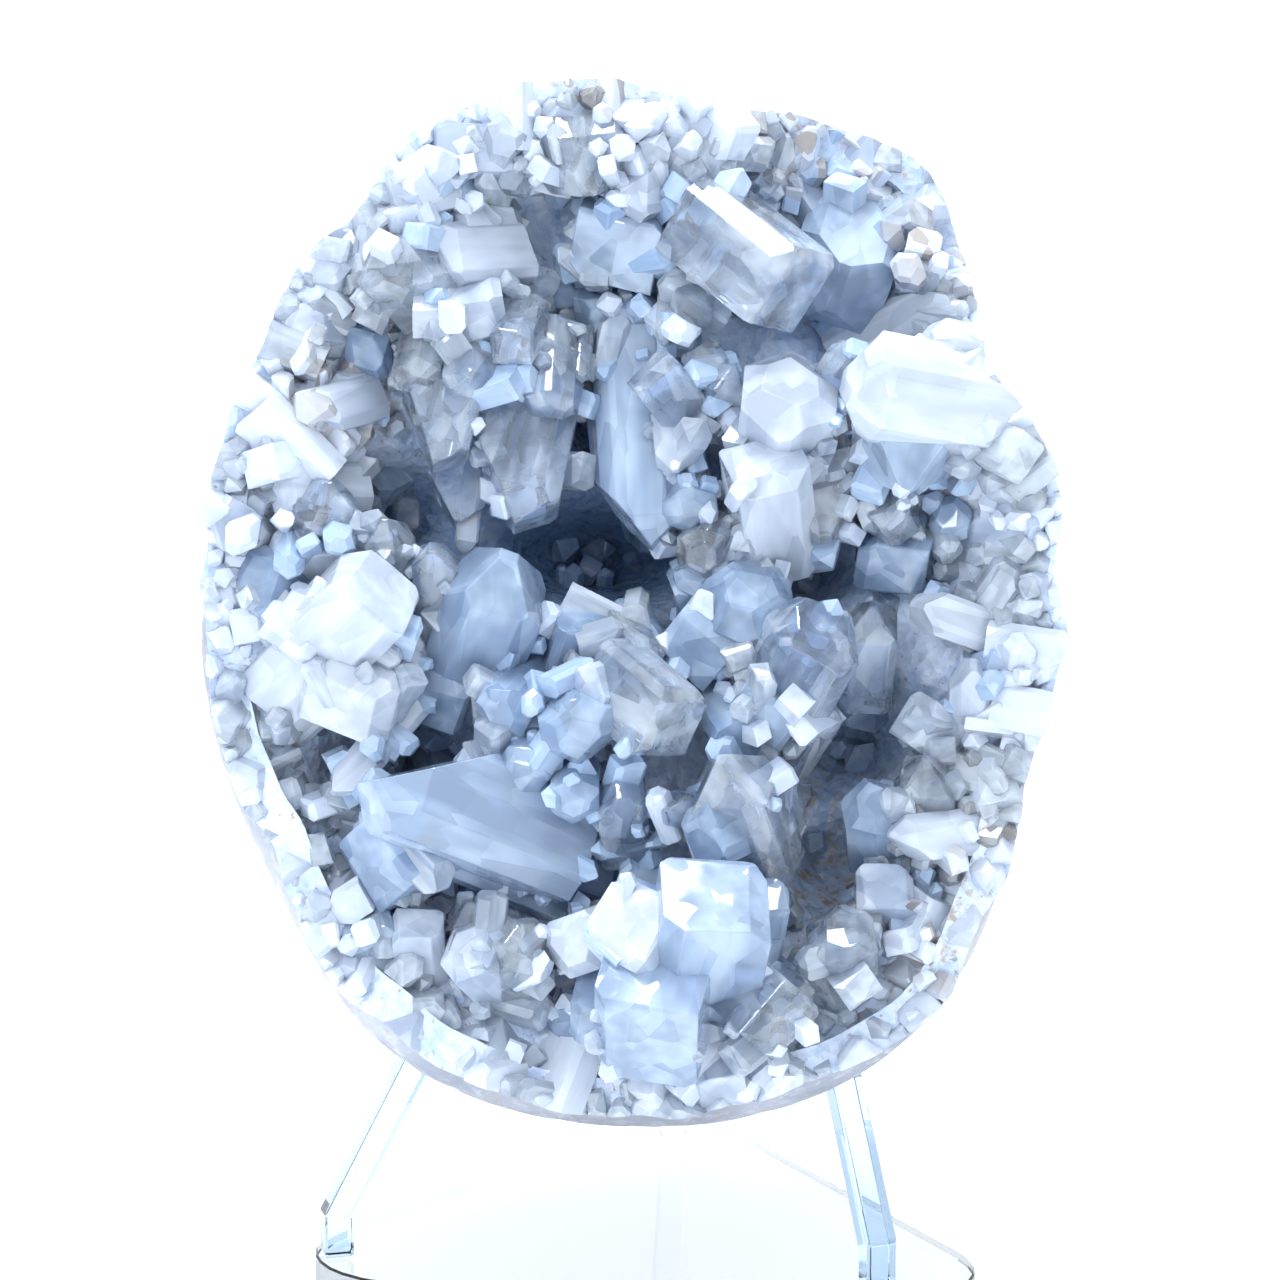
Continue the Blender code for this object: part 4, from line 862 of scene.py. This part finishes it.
def hemisphere(count):
    """Directions spread over the half space about +Z."""
    golden = math.pi * (3 - math.sqrt(5))
    directions = []
    for i in range(count):
        up = 1 - (i + 0.5) / count * 0.95
        side = math.sqrt(1 - up * up)
        directions.append(Vector((side * math.cos(golden * i), side * math.sin(golden * i), up)))
    return directions


def shelter(tree, point, normal, rays):
    """The share of directions out of a surface that a near neighbour blocks."""
    turn = normal.to_track_quat("Z", "Y")
    start = point + normal * FACE_CLEARANCE
    blocked = sum(tree.ray_cast(start, turn @ ray, DRUSE_REACH)[0] is not None for ray in rays)
    return blocked / len(rays)


def on_clean_face(point, normal):
    """Whether a spot lies on the open part of a face that stays clean."""
    if normal.y > -0.2:
        return False
    x, z = point.x / MM, point.z / MM
    return any(
        ((x - near_x) / half_width) ** 2 + ((z - near_z) / half_height) ** 2 < 1
        for near_x, near_z, half_width, half_height in CLEAN.values()
    )


def seen_from_front(tree, point, normal, rays):
    """Whether some direction towards the open side is free."""
    start = point + normal * FACE_CLEARANCE
    towards = TO_VIEWER.to_track_quat("Z", "Y")
    return any(tree.ray_cast(start, towards @ ray)[0] is None for ray in rays)


def crust_surface():
    """The crust's solid, in the geode's own frame."""
    mesh = frame["nodes"]["celestite_crystals"].data
    back = GEODE.inverted()
    corners = [back @ vert.co for vert in mesh.vertices]
    return corners, [tuple(polygon.vertices) for polygon in mesh.polygons]


def take_place(taken, point, width):
    """Keeps a place for a small crystal, unless its neighbours leave no room for it."""
    cell = DRUSE_WIDTH[1] * DRUSE_RIM_GROWTH
    key = tuple(int(value // cell) for value in point)
    around = [
        neighbour for i in (-1, 0, 1) for j in (-1, 0, 1) for k in (-1, 0, 1)
        for neighbour in taken.get((key[0] + i, key[1] + j, key[2] + k), ())
    ]
    if any((point - place).length < DRUSE_SPACING * (width + other) for place, other in around):
        return False
    taken.setdefault(key, []).append((point, width))
    return True


def rim_spots(rng, taken):
    """More of the small crystals where the crust thins out over the rim."""
    spots = []
    for _ in range(RIM_DRUSE_TRIES):
        angle = rng.uniform(0, 2 * math.pi)
        point = floor_point(angle, rng.uniform(*RIM_DRUSE_SHARES))
        normal = Vector((0.3 * math.cos(angle), -1, 0.3 * math.sin(angle))).normalized()
        width = rng.uniform(*DRUSE_WIDTH)
        if not on_clean_face(point, normal) and take_place(taken, point, width):
            spots.append((point, normal, width, 0.5, 1.0))
    return spots


def druse_spots(rng):
    """Places, directions and sizes of the small crystals, spaced apart."""
    corners, triangles = crust_surface()
    tree = BVHTree.FromPolygons(corners, triangles)
    areas = []
    for a, b, c in triangles:
        areas.append((corners[b] - corners[a]).cross(corners[c] - corners[a]).length)
    near_rays, front_rays = hemisphere(DRUSE_RAYS), hemisphere(FRONT_RAYS)
    taken = {}
    spots = []
    for a, b, c in rng.choices(triangles, areas, k=DRUSE_TRIES):
        first, second = sorted((rng.random(), rng.random()))
        point = corners[a] * first + corners[b] * (second - first) + corners[c] * (1 - second)
        normal = (corners[b] - corners[a]).cross(corners[c] - corners[a])
        if normal.length < 1e-12 or normal.normalized().y > DRUSE_AWAY:
            continue
        normal.normalize()
        if on_clean_face(point, normal) or not seen_from_front(tree, point, normal, front_rays):
            continue
        sheltered = shelter(tree, point, normal, near_rays)
        rim = smoothstep((shape_share(point.x, point.z) - DRUSE_RIM_FROM) / DRUSE_RIM_EASE)
        chance = DRUSE_OPEN + DRUSE_SHELTERED * max(sheltered - DRUSE_SHELTER, 0) + DRUSE_AT_RIM * rim
        if rng.random() > chance:
            continue
        width = DRUSE_WIDTH[0] + (DRUSE_WIDTH[1] - DRUSE_WIDTH[0]) * rng.random() ** 1.5
        width *= 1 + (DRUSE_RIM_GROWTH - 1) * rim
        if take_place(taken, point, width):
            spots.append((point, normal, width, sheltered, rim))
    return spots + rim_spots(rng, taken)


def build_druse(groups):
    rng = random.Random(DRUSE_SEED)
    templates = []
    for _ in range(DRUSE_TEMPLATES):
        form = rng.choice(DRUSE_FORMS)
        templates.append(crystal_mesh(rng.uniform(1.8, 2.4), 1.0, rng.uniform(0.6, 1.0), form, rng))
    for point, normal, width, sheltered, rim in druse_spots(rng):
        outward = Vector((point.x, 0, point.z)).normalized() * rim * RIM_LEAN
        axis = normal + 0.5 * TO_VIEWER + outward + DRUSE_WANDER * wander(rng)
        axes = spun_axes(axis.normalized(), rng)
        tip = point + axes[2] * width * rng.uniform(0.35, 0.85)
        # painted shade: how deep in the hollow a spot lies, used below to make the crystals there darker
        # and bluer
        shade_depth = smoothstep(point.y / DRUSE_SHADE_DEPTH)
        patch = noise.noise(point / DRUSE_PATCH) + 0.3 * (rng.random() - 0.5)
        # painted shade: deeper and more sheltered spots more often take the darker blue look, rim spots
        # less often
        if patch > 0.2 - 0.2 * sheltered - 0.35 * shade_depth + 0.5 * rim:
            group = "small_blue"
        else:
            group = "small_clear" if patch < -0.05 else "small_milky"
        # painted shade: the tone darkens where a spot is sheltered and deep in the hollow; it is paler
        # towards the rim and varies by chance
        tone_and_shade = (0.35 * rng.random() + 0.35 * rim + 0.3 * (1 - sheltered)) * (1 - 0.7 * shade_depth)
        add_crystal(rng.choice(templates).copy(), tip, axes, tone_and_shade, groups[group], width)


def join_group(name, collection, limit, made):
    """Joins a group's crystals into one skin and fits it within the rind."""
    bodies = list(collection.objects)
    first = bodies[0]
    collection.objects.unlink(first)
    bpy.context.scene.collection.objects.link(first)
    first.name = name
    grow = first.modifiers.new("crystals", "BOOLEAN")
    grow.operation = "UNION"
    grow.operand_type = "COLLECTION"
    grow.collection = collection
    grow.solver = "MANIFOLD"
    fit = first.modifiers.new("within the rind", "BOOLEAN")
    fit.operation = "INTERSECT"
    fit.object = limit
    fit.solver = "MANIFOLD"
    graph = bpy.context.evaluated_depsgraph_get()
    joined = bpy.data.meshes.new_from_object(first.evaluated_get(graph))
    first.modifiers.clear()
    first.data = joined
    joined.name = name
    joined.materials.clear()
    joined.materials.append(made)
    joined.shade_flat()
    for body in bodies[1:]:
        bpy.data.objects.remove(body)
    return first


# Materials

def new_material(name):
    made = bpy.data.materials.new(name)
    made.use_nodes = True
    return made, made.node_tree, made.node_tree.nodes["Principled BSDF"]


def set_inputs(tree, made, inputs):
    """Feeds a shader node: each input's name or number with its value, or with the socket that feeds it."""
    for label, value in inputs.items():
        if isinstance(value, bpy.types.NodeSocket):
            tree.links.new(value, made.inputs[label])
        else:
            made.inputs[label].default_value = value


def node(tree, kind, inputs, **settings):
    made = tree.nodes.new(kind)
    for label, value in settings.items():
        setattr(made, label, value)
    set_inputs(tree, made, inputs)
    return made


def math_node(tree, operation, first, second=0.0):
    return node(tree, "ShaderNodeMath", {0: first, 1: second}, operation=operation).outputs[0]


def vector_node(tree, operation, inputs, output=0):
    return node(tree, "ShaderNodeVectorMath", inputs, operation=operation).outputs[output]


def spread(tree, value, from_low, from_high, to_low, to_high):
    """A value mapped linearly from one range to another, held at its ends."""
    inputs = {
        "Value": value, "From Min": from_low, "From Max": from_high, "To Min": to_low, "To Max": to_high,
    }
    return node(tree, "ShaderNodeMapRange", inputs, clamp=True).outputs["Result"]


def noise_node(tree, vector, scale, detail, roughness, distortion=0.0):
    inputs = {"Vector": vector, "Scale": scale, "Detail": detail, "Roughness": roughness}
    return node(tree, "ShaderNodeTexNoise", {**inputs, "Distortion": distortion}).outputs["Fac"]


def cells_node(tree, vector, scale, output):
    return node(tree, "ShaderNodeTexVoronoi", {"Vector": vector, "Scale": scale}).outputs[output]


def mix_colour(tree, factor, first, second):
    # the sockets of a mix node that take and give colours
    factor_socket, first_socket, second_socket, result_socket = 0, 6, 7, 2
    inputs = {factor_socket: factor, first_socket: first, second_socket: second}
    return node(tree, "ShaderNodeMix", inputs, data_type="RGBA").outputs[result_socket]


def bump_normal(tree, height, strength, distance):
    inputs = {"Strength": strength, "Distance": distance, "Height": height}
    return node(tree, "ShaderNodeBump", inputs).outputs[0]


def absorb(tree, colour, density):
    """Lets what lies within a clear piece take up light."""
    volume = node(tree, "ShaderNodeVolumeAbsorption", {"Color": colour, "Density": density})
    tree.links.new(volume.outputs[0], tree.nodes["Material Output"].inputs["Volume"])


def object_coordinates(tree):
    return node(tree, "ShaderNodeTexCoord", {}).outputs["Object"]


def near_place(tree, coordinates, place, reach):
    """1 near a place given in mm in the geode's frame, falling to 0 at its reach."""
    point = GEODE @ (Vector(place) * MM)
    away = vector_node(tree, "DISTANCE", {0: coordinates, 1: point}, "Value")
    return spread(tree, away, 0.35 * reach * MM, reach * MM, 1.0, 0.0)


def stained_places(tree, coordinates):
    patches = None
    for place, reach in STAINS:
        near = near_place(tree, coordinates, place, reach)
        patches = near if patches is None else math_node(tree, "MAXIMUM", patches, near)
    return patches


def stain_mask(tree, coordinates):
    """Where iron has stained the stone: a few patches, broken up into specks."""
    patches = stained_places(tree, coordinates)
    specks = spread(tree, noise_node(tree, coordinates, 900.0, 4.0, 0.6), 0.5, 0.62, 0.0, 1.0)
    rare = spread(tree, noise_node(tree, coordinates, 1400.0, 2.0, 0.5), 0.66, 0.72, 0.0, 1.0)
    return math_node(tree, "MAXIMUM", math_node(tree, "MULTIPLY", patches, specks), rare)


def crystal_material(name, look):
    """Celestite crystal: glassy stepped faces over a body that is clear or clouded."""
    made, tree, shader = new_material(name)
    coordinates = object_coordinates(tree)
    axis = node(tree, "ShaderNodeAttribute", {}, attribute_name="axis").outputs["Vector"]
    tone_and_shade = node(tree, "ShaderNodeAttribute", {}, attribute_name="tone_and_shade").outputs["Fac"]

    # growth runs along the crystal, and the textures with it
    along = vector_node(tree, "PROJECT", {0: coordinates, 1: axis})
    squeeze = vector_node(tree, "SCALE", {0: along, "Scale": GROWTH_SQUEEZE})
    local = vector_node(tree, "ADD", {0: coordinates, 1: squeeze})

    # flat steps on the faces, each a little out of true
    steps = cells_node(tree, local, STEP_SCALE, "Color")
    tilt = vector_node(tree, "SUBTRACT", {0: steps, 1: (0.5, 0.5, 0.5)})
    tilt = vector_node(tree, "SCALE", {0: tilt, "Scale": look["step_tilt"]})
    face = node(tree, "ShaderNodeNewGeometry", {}).outputs["Normal"]
    normal = vector_node(tree, "NORMALIZE", {0: vector_node(tree, "ADD", {0: face, 1: tilt})})

    # clouds behind them, a little thicker or thinner from step to step
    clouds = noise_node(tree, local, look["cloud_scale"], 2.0, 0.6)
    step, tint, _ = node(tree, "ShaderNodeSeparateXYZ", {0: steps}).outputs
    clouded = math_node(tree, "ADD", clouds, math_node(tree, "MULTIPLY", step, STEP_CONTRAST))
    cloudy = spread(tree, clouded, *look["cloud_range"], 0.0, 1.0)
    # the tone mixes body towards pale body; on the small crystals it also carries painted shade
    toned_and_shaded = mix_colour(tree, tone_and_shade, look["body"], look["body_pale"])
    colour = mix_colour(tree, cloudy, toned_and_shaded, look["cloud"])
    if look["stained"]:
        shown = spread(tree, tint, *STAINED_STEPS)
        stain = math_node(tree, "MULTIPLY", stained_places(tree, coordinates), shown)
        colour = mix_colour(tree, stain, colour, STAIN_BROWN)
    set_inputs(tree, shader, {
        "Base Color": colour,
        "Transmission Weight": spread(tree, cloudy, 0.0, 1.0, *look["transmission"]),
        "Roughness": spread(tree, clouds, *ETCHED, *look["roughness"]),
        "IOR": CELESTITE_IOR,
        "Normal": normal,
    })
    if look["density"]:
        absorb(tree, look["absorbed"], look["density"])
    return made


def mass_material():
    """Massive celestite between the crystals: sugary, pale at the rim, with painted shade turning it slate
    blue in the caves.
    """
    made, tree, shader = new_material("celestite_mass")
    coordinates = object_coordinates(tree)
    inwards = GEODE.to_3x3() @ Vector((0, 1, 0))
    depth = vector_node(tree, "DOT_PRODUCT", {0: coordinates, 1: inwards}, "Value")
    grain = noise_node(tree, coordinates, 340.0, 5.0, 0.65)
    sugar = cells_node(tree, coordinates, 850.0, "Distance")
    pale = mix_colour(tree, spread(tree, grain, 0.36, 0.62, 0.0, 1.0), MASS_BLUE, MASS_PALE)
    opening = GEODE_PLACE.dot(inwards)
    # painted shade: darker slate blue the further it lies behind the opening
    shade_depth = spread(tree, depth, opening + CAVE_SHADE_FROM, opening + CAVE_SHADE_TO, 0.0, 1.0)
    body = mix_colour(tree, shade_depth, pale, CAVE_PAINTED_SHADE)
    set_inputs(tree, shader, {
        "Base Color": mix_colour(tree, stain_mask(tree, coordinates), body, STAIN_BROWN),
        "Roughness": spread(tree, grain, 0.4, 0.6, 0.18, 0.5),
        "IOR": CELESTITE_IOR,
        "Normal": bump_normal(tree, sugar, 0.8, 0.35 * MM),
    })
    return made


def rind_material():
    """Ground outside: pale lavender grey stone, mottled, with fine pits and tan specks."""
    made, tree, shader = new_material("ground_rind")
    coordinates = object_coordinates(tree)
    broad = noise_node(tree, coordinates, 70.0, 5.0, 0.6, 0.4)
    fine = noise_node(tree, coordinates, 620.0, 5.0, 0.7)
    tan = noise_node(tree, coordinates, 260.0, 6.0, 0.72)
    colour = mix_colour(tree, spread(tree, broad, 0.38, 0.62, 0.0, 1.0), RIND_PALE, RIND_GREY)
    colour = mix_colour(tree, spread(tree, fine, 0.52, 0.66, 0.0, 0.7), colour, RIND_SPECK)
    colour = mix_colour(tree, spread(tree, tan, 0.56, 0.68, 0.0, 0.6), colour, RIND_TAN)
    height = math_node(tree, "ADD", fine, math_node(tree, "MULTIPLY", broad, 0.6))
    set_inputs(tree, shader, {
        "Base Color": mix_colour(tree, stain_mask(tree, coordinates), colour, STAIN_BROWN),
        "Roughness": spread(tree, fine, 0.35, 0.7, 0.62, 0.34),
        "Normal": bump_normal(tree, height, 0.6, 0.3 * MM),
    })
    return made


def acrylic_material(name, colour, density, sawn_roughness):
    """Clear cast acrylic, with faint scuffs, and upright faces that may be left rough from the saw."""
    made, tree, shader = new_material(name)
    coordinates = object_coordinates(tree)
    scuffs = noise_node(tree, coordinates, 300.0, 5.0, 0.7)
    rough = spread(tree, scuffs, 0.55, 0.75, 0.01, 0.09)
    if sawn_roughness:
        face = node(tree, "ShaderNodeNewGeometry", {}).outputs["True Normal"]
        level = math_node(tree, "ABSOLUTE", node(tree, "ShaderNodeSeparateXYZ", {0: face}).outputs["Z"])
        rough = math_node(tree, "MAXIMUM", rough, spread(tree, level, 0.3, 0.6, sawn_roughness, 0.0))
    set_inputs(tree, shader, {
        "Base Color": colour, "Roughness": rough, "IOR": ACRYLIC_IOR, "Transmission Weight": 1.0,
    })
    absorb(tree, ACRYLIC_ABSORBED, density)
    return made


def floor_material():
    """A white table top, lit from below."""
    made, tree, shader = new_material("pale_floor")
    set_inputs(tree, shader, {
        "Base Color": FLOOR_COLOUR, "Roughness": 0.6, "Specular IOR Level": 0.2,
        "Emission Color": FLOOR_GLOW, "Emission Strength": 0.45,
    })
    return made


# The parts together

def dress_stone():
    limit = build_crust_limit()
    groups = {}
    for label in LOOKS:
        groups[label] = bpy.data.collections.new(label)
        bpy.context.scene.collection.children.link(groups[label])
    build_named_crystals(groups)
    build_fillers(groups)
    build_rim_crystals(groups)
    build_druse(groups)
    pieces = [build_mass(mass_material())]
    for label, look in LOOKS.items():
        made = crystal_material(f"celestite_{label}", look)
        pieces.append(join_group(f"crystals_{label}", groups[label], limit, made))
    bpy.data.objects.remove(limit)
    for piece in pieces:
        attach(piece, "root")
        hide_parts("celestite_crystals")
    rind = build_rind(rind_material())
    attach(rind, "root")
    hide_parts("geode_rind")


def dress_stand():
    plate = acrylic_material("acrylic_plate", PLATE_COLOUR, PLATE_DENSITY, SAWN_ROUGHNESS)
    # painted shade: the bars are a bluer, denser copy of the plate's acrylic
    bar = acrylic_material("acrylic_bar_shade_tinted", BAR_SHADE_TINT, BAR_DENSITY, 0.0)
    for name in ("stand_base", "stand_arm_left", "stand_arm_right", "stand_arm_back"):
        mesh = frame["nodes"][name].data
        mesh.materials.clear()
        mesh.materials.append(bar if name in ("stand_arm_left", "stand_arm_right") else plate)


# Stage, light and camera

def build_floor_plane():
    bm = bmesh.new()
    bmesh.ops.create_grid(bm, x_segments=1, y_segments=1, size=FLOOR_SIZE)
    floor = mesh_object("floor", bm, floor_material(), Matrix.Translation((0, 0, -GAP)))


def build_lamp(name, place, target, size, power):
    light = bpy.data.lights.new(name, "AREA")
    light.shape = "DISK"
    light.size = size
    light.energy = power
    light.color = DAYLIGHT
    obj = bpy.data.objects.new(name, light)
    obj.location = place
    obj.rotation_euler = (Vector(target) - Vector(place)).to_track_quat("-Z", "Y").to_euler()
    bpy.context.scene.collection.objects.link(obj)


def build_world():
    """A light tent: brightest overhead, white behind, dimmer on the viewer's side."""
    world = bpy.data.worlds.new("light tent")
    bpy.context.scene.world = world
    world.use_nodes = True
    tree = world.node_tree
    direction = node(tree, "ShaderNodeTexCoord", {}).outputs["Generated"]
    split = node(tree, "ShaderNodeSeparateXYZ", {0: direction})
    overhead = spread(tree, split.outputs["Z"], *TENT_OVERHEAD)
    behind = spread(tree, split.outputs["Y"], *TENT_BEHIND)
    strength = math_node(tree, "ADD", overhead, behind)
    set_inputs(tree, tree.nodes["Background"], {"Color": (*DAYLIGHT, 1), "Strength": strength})


def build_camera():
    camera = bpy.data.cameras.new("camera")
    camera.sensor_width = SENSOR
    camera.lens = SENSOR * CAMERA_DISTANCE / VIEW_WIDTH
    camera.shift_y = -(PHOTO_SIZE / 2 - PHOTO_CENTRE_V) / PHOTO_SIZE
    camera.clip_start = 0.01
    obj = bpy.data.objects.new("camera", camera)
    back = Vector((0, -math.cos(CAMERA_ELEVATION), math.sin(CAMERA_ELEVATION)))
    obj.location = GEODE_PLACE + back * CAMERA_DISTANCE
    obj.rotation_euler = (math.pi / 2 - CAMERA_ELEVATION, 0, 0)
    bpy.context.scene.collection.objects.link(obj)
    bpy.context.scene.camera = obj


def set_exposure():
    view = bpy.context.scene.view_settings
    view.view_transform = "Standard"
    view.exposure = EXPOSURE


def set_light_paths():
    """Enough bounces to see through the crystals and the acrylic, and no more."""
    cycles = bpy.context.scene.cycles
    cycles.use_denoising = True
    cycles.use_light_tree = False
    cycles.use_adaptive_sampling = True
    cycles.adaptive_threshold = 0.2
    cycles.max_bounces = 7
    cycles.transmission_bounces = 6
    cycles.diffuse_bounces = 2
    cycles.glossy_bounces = 2
    cycles.sample_clamp_indirect = 4.0


dress_stone()
dress_stand()
build_floor_plane()
build_world()
for lamp, row in LAMPS.items():
    build_lamp(lamp, *row)
build_camera()
set_exposure()
set_light_paths()
